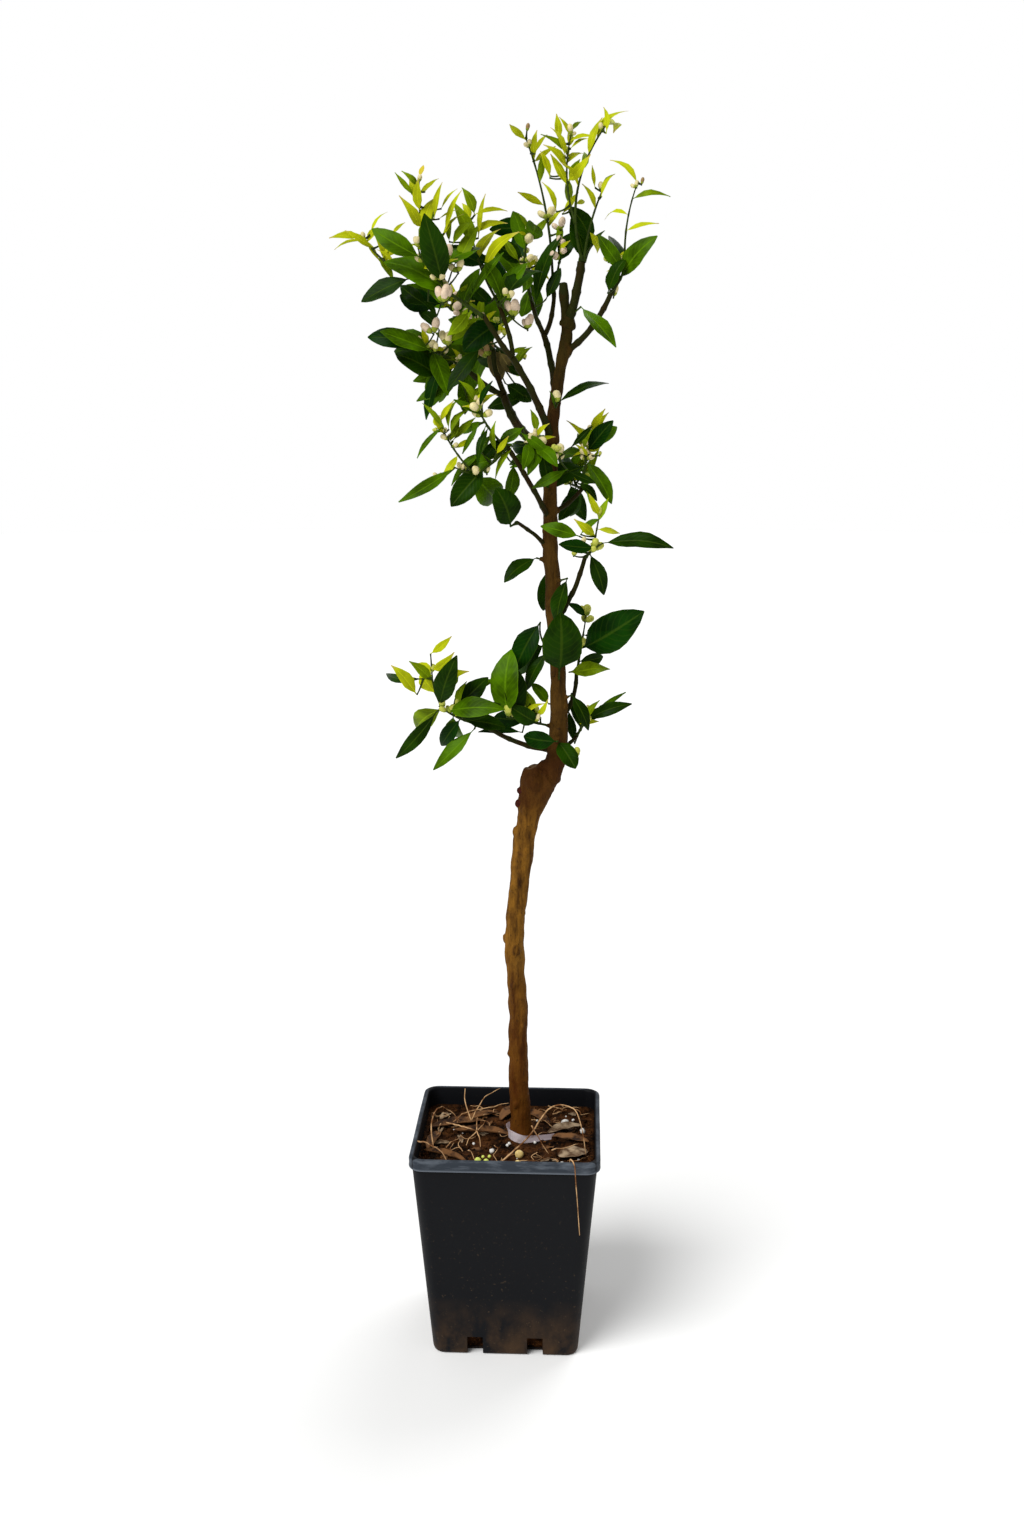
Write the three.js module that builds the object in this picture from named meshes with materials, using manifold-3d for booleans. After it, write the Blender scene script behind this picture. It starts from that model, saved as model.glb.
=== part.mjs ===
// A young grafted clementine tree in its square nursery pot.
// Millimetres, +Z up, x to the right and y away from the front.
// The origin is the middle of the pot's flat underside.
import * as THREE from "three";
import { mergeVertices } from "three/addons/utils/BufferGeometryUtils.js";
import Module from "manifold-3d";

const wasm = await Module();
wasm.setup();

// Driving sizes
const GAP = 0.3; // left open between neighbouring pieces
const SLIVER = 0.04; // faces and edges finer than this are merged
const POT = {
  height: 235,
  rimHalf: 101.5, // half the width across the rim's flat sides
  rimBand: 13, // height of the thick band under the lip
  rimRound: 2, // rounding of the lip
  rimInner: 95.5,
  bodyTopHalf: 98, // half the body's width just under the band
  baseHalf: 79,
  wall: 1.8,
  floor: 2.4,
  corner: 14, // radius of the upright corners
  footRound: 3,
};
const NOTCH = { across: 17, tall: 21, deep: 11, outside: 12, fromMiddle: 32.5 };
const SOIL_BELOW_RIM = 16;
const SOIL_MOUND = { rise: 5, shoulder: [55, 1], top: 30 }; // how the soil rises towards the stem
const SOIL_NOTCH_GAP = 1.2; // between the soil and the pot's drain notches
const COLLAR = { inner: 14.8, thick: 0.9, tall: 12, tail: 26, from: 2.6, to: 5.3 };
const TRUNK_SIDES = 10;
const TRUNK_STEPS = 36;
const LIMB_SIDES = 6;
const LIMB_STEPS = 6;
const TWIG_SIDES = 3;
const TWIG_STEPS = 2; // of a straight stem; a bowed one has more
const BUD_SIDES = 4;

// The trunk from just under the soil's face, where it is cut flat, to its top: height, x, y, radius.
const TRUNK = [
  [206, 15, 0, 15.6],
  [229, 14.5, 0, 12.4],
  [252, 13, 0, 11.1],
  [307, 11, -2, 10.7],
  [368, 11, -3, 10.4],
  [414, 8, -2, 9.8],
  [440, 7, -1, 10.7],
  [470, 8, 0, 9.9],
  [519, 13, 2, 10.6],
  [549, 16, 3, 10.9],
  [579, 21, 4, 11.7],
  [602, 29, 4, 12.4],
  [622, 41, 3, 11.6],
  [650, 51, 2, 10],
  [676, 53, 1, 9.3],
  [745, 52, -1, 8.6],
  [823, 46, -2, 8],
  [905, 43, -1, 7.3],
  [985, 45, 0, 6.6],
  [1030, 50, 1, 6.1],
  [1078, 58.5, 2, 5.8],
  [1100, 57, 4, 5],
  [1129, 55, 7, 4.2],
];
// The short stump of the rootstock, cut off flat beside the graft. Its profile lists the radius
// and the height from its top, upwards; lean is its slope to the right.
const STUMP = {
  top: [28.4, 4.3, 634.6],
  lean: 0.13,
  profile: [[9.3, -61], [13.2, -34], [14.2, -16], [11, -2], [9, 0]],
};

// Each limb leaves a parent: the trunk at a height, or another limb at its tip.
// reach runs from its root to its tip, sag pushes its middle, radius shrinks to the tip.
const LIMBS = [
  { name: "leader", on: "trunk", at: 1084, reach: [14, -8, 62], sag: [2, -3, 0], radius: [4.6, 4] },
  { name: "right_bough", on: "trunk", at: 1058, reach: [48, -18, 60], sag: [4, 0, -5], radius: [3.4, 2.4] },
  { name: "centre_bough", on: "trunk", at: 1008, reach: [-12, 30, 70], sag: [3, 4, 0], radius: [3.6, 3] },
  { name: "centre_arm_left", on: "centre_bough", reach: [-13, 22, 35], sag: [-2, 0, 2], radius: [2.6, 2] },
  { name: "centre_arm_right", on: "centre_bough", reach: [8, 8, 44], sag: [3, 0, 0], radius: [2.6, 2] },
  { name: "front_bough", on: "trunk", at: 970, reach: [-39, -34, 84], sag: [6, -4, -4], radius: [4, 3] },
  { name: "front_arm_out", on: "front_bough", reach: [-26, -14, 38], sag: [0, -2, -2], radius: [2.8, 2.2] },
  { name: "front_arm_up", on: "front_bough", reach: [-14, 4, 48], sag: [2, 0, 0], radius: [2.4, 1.9] },
  { name: "left_bough", on: "trunk", at: 957, reach: [-50, 42, 60], sag: [-6, 0, -5], radius: [5.4, 4] },
  { name: "left_arm_out", on: "left_bough", reach: [-35, -14, 25], sag: [0, 0, -2], radius: [3.2, 2.4] },
  { name: "left_arm_up", on: "left_bough", reach: [-12, 16, 45], sag: [-3, 0, 0], radius: [3, 2.2] },
  { name: "side_bough", on: "trunk", at: 893, reach: [-42, -38, 76], sag: [4, -4, -4], radius: [3, 2.2] },
  { name: "side_twig", on: "trunk", at: 864, reach: [-34, -22, 30], sag: [0, 0, 2], radius: [2.3, 1.7] },
  { name: "right_mid_bough", on: "trunk", at: 792, reach: [31, -18, 68], sag: [2, -2, -6], radius: [3, 2.2] },
  { name: "right_side_bough", on: "trunk", at: 902, reach: [33, 16, 24], sag: [0, 0, -4], radius: [2.6, 2] },
  { name: "low_left_bough", on: "trunk", at: 656, reach: [-76, -24, 30], sag: [0, 2, -7], radius: [3, 2.2] },
  { name: "low_right_twig", on: "trunk", at: 655, reach: [20, 14, 12], sag: [0, 0, -2], radius: [2.2, 1.7] },
  { name: "right_low_bough", on: "trunk", at: 690, reach: [18, 18, 50], sag: [5, 3, -5], radius: [2.6, 2] },
];

// Each spray has one stem with leaves on it. Its stem grows from a limb's tip, from the trunk at
// a height, or from an earlier spray at a fraction of that stem, which makes both one mass.
// bow is how far the stem's middle swings to its right. leaves lists, from the stem's foot to its
// tip, each leaf's direction seen from the front, in degrees from straight up; length runs from
// the first leaf's to the last's. roll turns the blades from facing the front to facing up.
const SPRAYS = [
  { name: "front_left_spray", on: "front_arm_out", reach: [-58, -20, 54], bow: -5, length: [74, 58],
    leaves: [-62, -10, 52, -54], buds: 7 },
  { name: "top_left_shoot", on: "front_left_spray", at: 0.75, reach: [-14, 14, 92], bow: -5, young: true,
    length: [38, 18], wide: 0.34, leaves: [12, -14, 28, 2, -24, 34, -38, 10], buds: 2 },
  { name: "far_left_spray", on: "front_arm_out", reach: [-74, 24, 38], bow: 4, length: [48, 52],
    leaves: [-58, -114], buds: 1 },
  { name: "far_left_shoot", on: "far_left_spray", at: 1, reach: [-48, 12, 40], bow: -3, young: true,
    length: [30, 30], wide: 0.28, leaves: [-14, 44, 142, -50, 18, -92], buds: 2 },
  { name: "light_left_spray", on: "front_arm_up", reach: [-30, 8, 80], bow: -5, young: true,
    length: [58, 30], wide: 0.3, leaves: [30, 18, -22, 58, -18], buds: 3 },
  { name: "front_wide_leaf", on: "front_arm_up", reach: [8, -24, 6], length: [42, 62], wide: 0.46,
    leaves: [-24, 33], buds: 3 },
  { name: "left_leaf_fan", on: "left_arm_out", reach: [-50, -22, 26], bow: 3, length: [56, 50], wide: 0.44,
    leaves: [-158, -76, 150, -60, -72], buds: 7 },
  { name: "left_under_spray", on: "left_leaf_fan", at: 0.04, reach: [-10, 20, 4], length: [52, 48],
    leaves: [-140, -70, -110], buds: 4 },
  { name: "blossom_spray", on: "left_arm_up", reach: [-52, -8, 46], bow: 4, length: [36, 58],
    leaves: [-70, -135, 20, -60, -84], buds: 9, bloom: true },
  { name: "back_left_spray", on: "left_arm_up", reach: [-20, 34, 30], bow: 3, length: [52, 44],
    leaves: [-100, 150, -40, 40, -10], buds: 5 },
  { name: "rear_left_spray", on: "left_arm_up", reach: [2, 66, 26], bow: -4, length: [58, 50], wide: 0.42,
    leaves: [-150, -60, -118, 12, -28, -88], buds: 5 },
  { name: "rear_low_spray", on: "left_arm_out", reach: [14, 58, 16], bow: -4, length: [54, 50], wide: 0.44,
    leaves: [-164, 96, -40, -92, 24], buds: 5, bloom: true },
  { name: "centre_top_spray", on: "centre_arm_left", reach: [-2, 6, 70], bow: -7, length: [36, 40],
    wide: 0.5, leaves: [165, -50, -14, 40, -76], buds: 8 },
  { name: "rear_top_spray", on: "centre_top_spray", at: 0.08, reach: [-12, 56, 22], bow: 4, length: [46, 50],
    wide: 0.42, leaves: [-172, -80, 152, -42, -12], buds: 3 },
  { name: "dark_centre_leaf", on: "centre_top_spray", at: 0.04, reach: [5, -18, -10],
    length: [78, 78], wide: 0.28, leaves: [9], buds: 0 },
  { name: "centre_right_spray", on: "centre_arm_right", reach: [8, -10, 42], length: [42, 34],
    wide: 0.56, leaves: [4, 30, -150], buds: 6, bloom: true },
  { name: "top_shoot_one", on: "centre_arm_right", reach: [-28, 16, 148], bow: 7, young: true,
    length: [34, 28], wide: 0.26, leaves: [22, -60, 5, 40, -46], buds: 2 },
  { name: "leader_shoot", on: "leader", reach: [19, 2, 70], bow: -3, young: true,
    length: [32, 20], leaves: [150, -20, 25], buds: 2 },
  { name: "top_shoot_three", on: "leader", reach: [23, -14, 126], bow: -17, young: true,
    length: [20, 50], leaves: [60, -25, 3, 12, 24, 38], buds: 2 },
  { name: "top_shoot_two", on: "top_shoot_three", at: 0.26, reach: [-4, 22, 91], bow: -7, young: true,
    length: [36, 20], wide: 0.3, leaves: [-20, 40, 165, -32, 42, -14, -42, 12, 68, -18, 36], buds: 2 },
  { name: "leader_leaf", on: "leader_shoot", at: 0.05, reach: [7, 16, 14], length: [42, 40], wide: 0.55,
    leaves: [-24], buds: 0 },
  { name: "right_cluster", on: "right_bough", reach: [12, -4, 28], bow: 3, length: [52, 24],
    wide: 0.4, leaves: [34, -10, -38, 50, 62], buds: 5, bloom: true },
  { name: "right_shoot", on: "right_cluster", at: 0.9, reach: [11, -8, 74], bow: -4, young: true,
    length: [32, 34], wide: 0.2, leaves: [60, -66, 80, -34], buds: 2 },
  { name: "fork_leaf", on: "trunk", at: 1092, reach: [15, -12, 12], length: [66, 66], wide: 0.34,
    leaves: [130], buds: 0 },
  { name: "stem_high_spray", on: "trunk", at: 1000, reach: [4, -18, 9], length: [26, 62], wide: 0.2,
    roll: 60, leaves: [0, 57], buds: 2 },
  { name: "right_side_spray", on: "right_side_bough", reach: [6, 2, 42], length: [52, 40], wide: 0.44,
    leaves: [-145, -112, 134, -74, 40, 50], buds: 6 },
  { name: "right_side_young", on: "right_side_spray", at: 1, reach: [3, 4, 12], young: true,
    length: [32, 30], wide: 0.3, leaves: [-35, 24], buds: 1 },
  { name: "right_rear_spray", on: "right_side_bough", reach: [-16, 44, 4], length: [46, 42], wide: 0.42,
    leaves: [-176, -20, 160, 18], buds: 3 },
  { name: "right_mid_spray", on: "right_mid_bough", reach: [9, -12, 10], length: [44, 40], wide: 0.38,
    leaves: [155, -75], buds: 7 },
  { name: "right_long_leaf", on: "right_mid_spray", at: 1, reach: [8, -3, 5], length: [76, 76], wide: 0.3,
    roll: 25, leaves: [79], buds: 0 },
  { name: "right_mid_shoot", on: "right_mid_spray", at: 0.8, reach: [6, 8, 34], young: true,
    length: [28, 26], wide: 0.36, leaves: [-48, 84, 10, -20], buds: 1 },
  { name: "mid_left_leaf", on: "trunk", at: 853, reach: [-15, -8, 4], length: [42, 42], wide: 0.42,
    leaves: [-120], buds: 0 },
  { name: "front_hanging_leaf", on: "trunk", at: 831, reach: [16, -15, 6], length: [43, 43], wide: 0.46,
    leaves: [-156], buds: 0 },
  { name: "dark_hanging_leaf", on: "trunk", at: 838, reach: [-6, 15, 5], length: [46, 46], wide: 0.4,
    leaves: [-172], buds: 0 },
  { name: "low_left_pair", on: "trunk", at: 756, reach: [-18, 8, 34], bow: -7, length: [62, 60],
    wide: 0.46, leaves: [-132, -150], buds: 0 },
  { name: "round_leaf", on: "trunk", at: 726, reach: [1, -17, 17], length: [64, 64], wide: 0.7, roll: 5,
    leaves: [8], buds: 0 },
  { name: "right_low_spray", on: "right_low_bough", reach: [4, -2, 24], length: [30, 92],
    wide: 0.42, leaves: [82, 50], buds: 1 },
  { name: "right_low_young", on: "right_low_spray", at: 1, reach: [5, 2, 34], length: [26, 24], wide: 0.42,
    leaves: [100, -44], buds: 4 },
  { name: "right_low_leaf", on: "trunk", at: 712, reach: [14, -8, 6], length: [36, 36], wide: 0.42,
    leaves: [146], buds: 0 },
  { name: "low_right_spray", on: "low_right_twig", reach: [11, 5, 17], length: [38, 46], wide: 0.3,
    leaves: [-14, 55, 62], buds: 3 },
  { name: "low_front_spray", on: "trunk", at: 680, reach: [-54, -16, 14], length: [36, 66], wide: 0.5,
    leaves: [-50, -86, 2, -4], buds: 3 },
  { name: "low_round_pair", on: "trunk", at: 668, reach: [-1, -25, 4], length: [36, 36], wide: 0.54,
    leaves: [140, -90], buds: 0 },
  { name: "low_left_cluster", on: "low_left_bough", reach: [-45, -10, 22], bow: -3, length: [46, 66],
    leaves: [98, -140, 68, 180, 46, 72, -134, 14], buds: 4 },
  { name: "low_left_young", on: "low_left_cluster", at: 0.9, reach: [-10, -10, 42], bow: -3, young: true,
    length: [40, 30], wide: 0.4, leaves: [-34, 56, -40, -56, 50], buds: 2 },
  { name: "low_left_blade", on: "low_left_young", at: 0.8, reach: [-9, -4, 0], length: [74, 74], wide: 0.13,
    leaves: [-92], buds: 0 },
  { name: "hanging_left_spray", on: "side_bough", reach: [-27, -12, 38], bow: -3, length: [42, 30],
    wide: 0.26, leaves: [-145, -152, -112, -60, 22], buds: 4 },
  { name: "sprig_left", on: "side_bough", reach: [-32, -16, -27], bow: -3, length: [36, 60], wide: 0.5,
    leaves: [-100, -140, 142], buds: 4 },
  { name: "sprig_left_blade", on: "sprig_left", at: 1, reach: [-18, -6, 8], length: [68, 68], wide: 0.2,
    leaves: [-116], buds: 0 },
  { name: "sprig_left_young", on: "sprig_left", at: 0.96, reach: [-36, 8, 52], bow: -3, young: true,
    length: [28, 24], wide: 0.3, leaves: [-130, 50, 20, -15, -34, 30], buds: 7 },
  { name: "stem_left_spray", on: "trunk", at: 948, reach: [-22, -24, 22], bow: 3, length: [38, 34],
    wide: 0.42, leaves: [-105, 168, -160, 118, -98, 172], buds: 4 },
  { name: "stem_right_buds", on: "trunk", at: 946, reach: [8, -14, 10], length: [30, 30], wide: 0.2,
    leaves: [], buds: 5 },
  { name: "twig_leaf", on: "side_twig", reach: [-6, -8, -3], length: [46, 46], wide: 0.68,
    leaves: [-10], buds: 0 },
  { name: "low_stub", on: "trunk", at: 645, reach: [24, -9, 4], length: [30, 30],
    leaves: [], buds: 1 },
];
const STEM_RADIUS = [1.5, 0.8]; // at the foot and the tip of a spray's stem
const SHOOT_RADIUS = [1.2, 0.6]; // the same for a stem that grows from another spray

// The rule that sets each leaf
const LEAF = {
  firstPlace: 0.4, // where on the stem the first leaf grows
  lastPlace: 0.985,
  lengthJitter: 0.08,
  turnJitter: 5, // degrees
  tilt: 38, // most that a leaf leans towards or away from the front, in degrees
  steepest: 75, // the same where it had to turn aside
  roll: 24,
  rollJitter: 26,
  rollBehind: 45, // leaves that grow deeper than this turn their faces to the back
  wide: 0.38,
  wideYoung: 0.25,
  wideJitter: 0.08,
  outwards: 0.2, // how much a face prefers to look away from the stem
  fold: 0.22, // how far the blade's edges rise from its rib
  bend: 0.16,
  bendJitter: 0.1,
  thick: 0.65, // half the thickness at the rib
  stalk: 0.9, // half the width of the stalk
  sunk: 0.8, // how far its root passes the middle of the stem
};
const TURN_TRIES = [0, 24, -24, 48, -48, 70, -70]; // other tilts, tried where a leaf would touch
const GOLDEN_ANGLE = 137.508;
const SEED = { first: 1000, step: 77 };
const FORK_OFFSET = 0.6; // of the limb's radius
// Across and along one leaf, where its clearance is tested, and the room that each test asks for
const TEST_ALONG = [0.25, 0.4, 0.55, 0.7, 0.85, 1];
const TEST_ACROSS = [-0.8, 0, 0.8];
const TEST_FOOT = [0.08, 0.13, 0.19];
const ROOM = { leaf: 6.5, ownLeaf: 3, limb: 4.5, stem: 4.5, bud: 7, foot: 1.8 };
const BUD = {
  every: 3,
  radius: 4.1,
  bloomRadius: 6.5,
  length: 13,
  widest: 0.66, // of its length
  jitter: 0.25,
  sunk: 1.4, // how far its foot goes into the stem
  highest: 0.94, // where on the stem the first one grows
  stepBack: 0.13, // how far apart the pairs stand on the stem
  lowest: 0.3,
  tipLean: 12,
  lean: 62,
};

const COLOURS = {
  pot: 0x22262b,
  soil: 0x3a2417,
  collar: 0xe8e2dc,
  trunk: 0x5d4422,
  limb: 0x33401a,
  leaf: 0x2c5a12,
  young: 0x9db52a,
};

const vec = (x, y, z) => new THREE.Vector3(x, y, z);
const radians = THREE.MathUtils.degToRad;
const lerp = THREE.MathUtils.lerp;

// A repeatable stream of numbers from 0 to 1.
function randomFrom(seed) {
  let state = seed >>> 0;
  return () => {
    state = (state + 0x6d2b79f5) >>> 0;
    let mixed = Math.imul(state ^ (state >>> 15), state | 1);
    mixed = (mixed ^ (mixed + Math.imul(mixed ^ (mixed >>> 7), mixed | 61))) >>> 0;
    return ((mixed ^ (mixed >>> 14)) >>> 0) / 4294967296;
  };
}

// Closed geometry to a solid, and back.
function solidFrom(geometry) {
  geometry.deleteAttribute("normal");
  geometry.deleteAttribute("uv");
  const merged = mergeVertices(geometry, 1e-4);
  return new wasm.Manifold(
    new wasm.Mesh({
      numProp: 3,
      vertProperties: merged.attributes.position.array,
      triVerts: new Uint32Array(merged.index.array),
    }),
  );
}

function geometryFrom(solid) {
  const mesh = solid.getMesh();
  const geometry = new THREE.BufferGeometry();
  geometry.setAttribute("position", new THREE.BufferAttribute(mesh.vertProperties, 3));
  geometry.setIndex(new THREE.BufferAttribute(mesh.triVerts, 1));
  const flat = geometry.toNonIndexed();
  flat.computeVertexNormals();
  return flat;
}

// The largest single body of a solid, without slivers: fills sealed hollows and drops loose scraps.
function wholeBody(solid) {
  const bodies = solid.simplify(SLIVER).decompose();
  return bodies.reduce((best, body) => (body.volume() > best.volume() ? body : best));
}

function warp(geometry, place) {
  const position = geometry.attributes.position;
  const point = new THREE.Vector3();
  for (let i = 0; i < position.count; i++) {
    const moved = place(point.fromBufferAttribute(position, i));
    position.setXYZ(i, moved.x, moved.y, moved.z);
  }
  return geometry;
}

// A round bar along a path. grow widens and lengthens it, to cut room for it in a neighbour.
function rod(path, sides, steps, grow = 0) {
  const chord = path.point(1).sub(path.point(0)).normalize();
  const side = Math.abs(chord.y) > 0.8 ? vec(0, 0, 1) : vec(0, 1, 0);
  return warp(new THREE.CylinderGeometry(1, 1, 1, sides, steps), (p) => {
    const t = p.y + 0.5;
    const along = path.point(Math.min(t + 0.01, 1)).sub(path.point(Math.max(t - 0.01, 0))).normalize();
    const across = side.clone().addScaledVector(along, -side.dot(along)).normalize();
    const third = across.clone().cross(along);
    const radius = path.radius(t) + grow;
    const end = t < 1e-6 ? -grow : t > 1 - 1e-6 ? grow : 0;
    return path.point(t).addScaledVector(across, p.x * radius)
      .addScaledVector(third, p.z * radius).addScaledVector(along, end);
  });
}

function rodSolid(path, sides, steps, grow) {
  return solidFrom(rod(path, sides, steps, grow));
}

// The path of a limb or stem that runs from root by reach, with its middle pushed by sag.
function bentPath(root, reach, sag, radius) {
  return {
    point: (t) => root.clone().addScaledVector(reach, t).addScaledVector(sag, 4 * t * (1 - t)),
    radius: (t) => lerp(radius[0], radius[1], t),
  };
}

// The trunk's path through its stations, and the place on it at a height.
function trunkPath() {
  const curve = new THREE.CatmullRomCurve3(TRUNK.map(([z, x, y]) => vec(x, y, z)), false, "catmullrom");
  const last = TRUNK.length - 1;
  return {
    point: (t) => curve.getPoint(t),
    radius: (t) => {
      const i = Math.min(Math.floor(t * last), last - 1);
      return lerp(TRUNK[i][3], TRUNK[i + 1][3], t * last - i);
    },
    placeAt: (height) => {
      const i = TRUNK.findIndex(([z]) => z > height) - 1;
      return (i + (height - TRUNK[i][0]) / (TRUNK[i + 1][0] - TRUNK[i][0])) / last;
    },
  };
}

// Where a limb or stem starts on its parent. At a limb's tip it moves off the middle to its own
// side, so that two that fork there don't run into each other.
function rootOn(parent, at, reach) {
  if (parent.name === "trunk") return parent.path.point(parent.path.placeAt(at));
  if (parent.isStem) return parent.path.point(at);
  const tip = parent.path.point(1);
  const along = tip.clone().sub(parent.path.point(0.95)).normalize();
  const sideways = reach.clone().addScaledVector(along, -reach.dot(along)).normalize();
  return tip.addScaledVector(sideways, FORK_OFFSET * parent.path.radius(1));
}

// The frame of the wood: trunk, limbs and the stems of the sprays, by name.
function growWood() {
  const wood = new Map();
  wood.set("trunk", { name: "trunk", path: trunkPath(), samples: 90 });
  for (const limb of LIMBS) {
    const reach = vec(...limb.reach);
    const root = rootOn(wood.get(limb.on), limb.at, reach);
    const path = bentPath(root, reach, vec(...limb.sag), limb.radius);
    wood.set(limb.name, { name: limb.name, path, samples: 14 });
  }
  for (const spray of SPRAYS) {
    const reach = vec(...spray.reach);
    const parent = wood.get(spray.on);
    const root = rootOn(parent, spray.at, reach);
    const bow = vec(reach.z, 0, -reach.x).normalize().multiplyScalar(spray.bow ?? 0);
    const radius = parent.isStem ? SHOOT_RADIUS : STEM_RADIUS;
    const mass = parent.isStem ? parent.mass : spray.name;
    const path = bentPath(root, reach, bow, radius);
    const steps = TWIG_STEPS + Math.ceil(Math.abs(spray.bow ?? 0) / 2.5);
    wood.set(spray.name, { name: spray.name, path, samples: 12, isStem: true, mass, steps });
  }
  return wood;
}

// A leaf's own directions: along it, across it and out of its face, and its point at a place
// measured along (0 to 1), across (-1 to 1) and out of the blade (in millimetres).
function leafFrame(root, turn, tilt, roll, size) {
  const along = vec(Math.sin(turn) * Math.cos(tilt), Math.sin(tilt), Math.cos(turn) * Math.cos(tilt));
  const front = vec(0, -1, 0).addScaledVector(along, along.y).normalize();
  const upper = along.clone().cross(front);
  if (upper.z + LEAF.outwards * upper.x * Math.sign(root.x) < 0) upper.negate();
  const face = front.multiplyScalar(Math.cos(roll)).addScaledVector(upper, Math.sin(roll));
  const across = along.clone().cross(face);
  const point = (s, w, out) =>
    root.clone()
      .addScaledVector(along, s * size.length)
      .addScaledVector(across, w * size.half)
      .addScaledVector(face, out + LEAF.fold * Math.abs(w) * size.half - size.bend * s * s * size.length);
  return { along, point, size };
}

// Half the blade's width along a leaf, as a share of its widest place.
const BLADE = [[0, 0], [0.06, 0.1], [0.36, 0.96], [0.68, 0.82], [1, 0]];
function bladeWidth(s) {
  const i = Math.max(1, BLADE.findIndex(([at]) => at >= s));
  const [s0, w0] = BLADE[i - 1];
  const [s1, w1] = BLADE[i];
  return lerp(w0, w1, (s - s0) / (s1 - s0));
}

function leafSolid(leaf) {
  const profile = BLADE.map(([s, w]) => new THREE.Vector2(w, s));
  return solidFrom(warp(new THREE.LatheGeometry(profile, 4), (p) => {
    const onRib = Math.abs(p.z) > Math.abs(p.x);
    const across = p.y < 0.1 ? Math.sign(p.x) * (LEAF.stalk / leaf.size.half) : p.x;
    const s = p.y > 0 ? p.y : -LEAF.sunk / leaf.size.length;
    return leaf.point(s, onRib ? 0 : across, onRib ? Math.sign(p.z) * LEAF.thick : 0);
  }));
}

// A bud on its short stalk, wider near its top.
function budSolid(bud) {
  const profile = [[0, 0], [1, BUD.widest], [0, 1]].map(([r, h]) => new THREE.Vector2(r, h));
  const side = Math.abs(bud.along.y) > 0.8 ? vec(0, 0, 1) : vec(0, 1, 0);
  const across = side.addScaledVector(bud.along, -side.dot(bud.along)).normalize();
  const third = across.clone().cross(bud.along);
  return solidFrom(warp(new THREE.LatheGeometry(profile, BUD_SIDES), (p) =>
    bud.root.clone().addScaledVector(bud.along, p.y * bud.length)
      .addScaledVector(across, p.x * bud.radius).addScaledVector(third, p.z * bud.radius)));
}

function nearest(points, p) {
  let best = Infinity;
  for (const q of points) best = Math.min(best, q.distanceToSquared(p));
  return Math.sqrt(best);
}

// True where a leaf's test points keep their room from all that already stands.
function hasRoom(points, mass, wood, placed, foot = []) {
  for (const part of wood.values()) {
    if (part.mass === mass) continue;
    const room = part.isStem ? ROOM.stem : ROOM.limb;
    for (let i = 0; i <= part.samples; i++) {
      const t = i / part.samples;
      const core = part.path.point(t);
      const radius = part.path.radius(t);
      if (nearest(points, core) < radius + room) return false;
      if (nearest(foot, core) < radius + ROOM.foot) return false;
    }
  }
  for (const other of placed) {
    const room = other.mass === mass ? ROOM.ownLeaf : ROOM.leaf;
    if (other.points.some((q) => nearest(points, q) < room)) return false;
  }
  return true;
}

// The leaves and buds of one spray, by the seeded rule.
function growSpray(spray, index, wood, placed) {
  const stem = wood.get(spray.name);
  const random = randomFrom(SEED.first + SEED.step * index);
  const jitter = (size) => size * (2 * random() - 1);
  const count = spray.leaves.length;
  const leaves = spray.leaves.map((direction, i) => {
    const share = count > 1 ? i / (count - 1) : 1;
    const root = stem.path.point(lerp(LEAF.firstPlace, LEAF.lastPlace, share));
    const length = lerp(spray.length[0], spray.length[1], share) * (1 + jitter(LEAF.lengthJitter));
    const turn = direction + jitter(LEAF.turnJitter);
    const lean = Math.sin(radians(GOLDEN_ANGLE * (i + 1) + 40 * index)) * LEAF.tilt;
    const rolled = (spray.roll ?? LEAF.roll) + jitter(LEAF.rollJitter);
    const roll = root.y > LEAF.rollBehind ? 180 - rolled : rolled;
    const usual = spray.young ? LEAF.wideYoung : LEAF.wide;
    const wide = (spray.wide ?? usual) * (1 + jitter(LEAF.wideJitter));
    const size = { length, half: (wide * length) / 2, bend: LEAF.bend + jitter(LEAF.bendJitter) };
    for (const extra of TURN_TRIES) {
      const tilt = THREE.MathUtils.clamp(lean + extra, -LEAF.steepest, LEAF.steepest);
      const leaf = leafFrame(root, radians(turn), radians(tilt), radians(roll), size);
      const grid = (places) =>
        places.flatMap((s) => TEST_ACROSS.map((w) => leaf.point(s, w * bladeWidth(s), 0)));
      const points = grid(TEST_ALONG);
      if (hasRoom(points, stem.mass, wood, placed, grid(TEST_FOOT))) {
        placed.push({ mass: stem.mass, points });
        return leaf;
      }
    }
    return null;
  }).filter(Boolean);
  const buds = [];
  for (let i = 0; i < spray.buds; i += BUD.every) {
    const t = Math.max(BUD.lowest, BUD.highest - BUD.stepBack * Math.floor(i / 2));
    const root = stem.path.point(t);
    const around = radians(GOLDEN_ANGLE * i + 50 * index);
    const lean = radians(i === 0 ? BUD.tipLean : BUD.lean);
    const along = vec(Math.sin(lean) * Math.cos(around), Math.sin(lean) * Math.sin(around), Math.cos(lean));
    const scale = 1 + jitter(BUD.jitter);
    const radius = (spray.bloom && i % 4 ? BUD.bloomRadius : BUD.radius) * scale;
    const bud = { root, along, radius, length: BUD.length * scale };
    root.addScaledVector(along, -BUD.sunk);
    const middle = root.clone().addScaledVector(along, BUD.widest * bud.length);
    const others = placed.filter((other) => other.mass !== stem.mass);
    const clear = others.every((other) => nearest(other.points, middle) > ROOM.bud);
    if (clear && hasRoom([middle], stem.mass, wood, [])) {
      placed.push({ mass: stem.mass, points: [middle] });
      buds.push(bud);
    }
  }
  return { leaves, buds };
}

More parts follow.
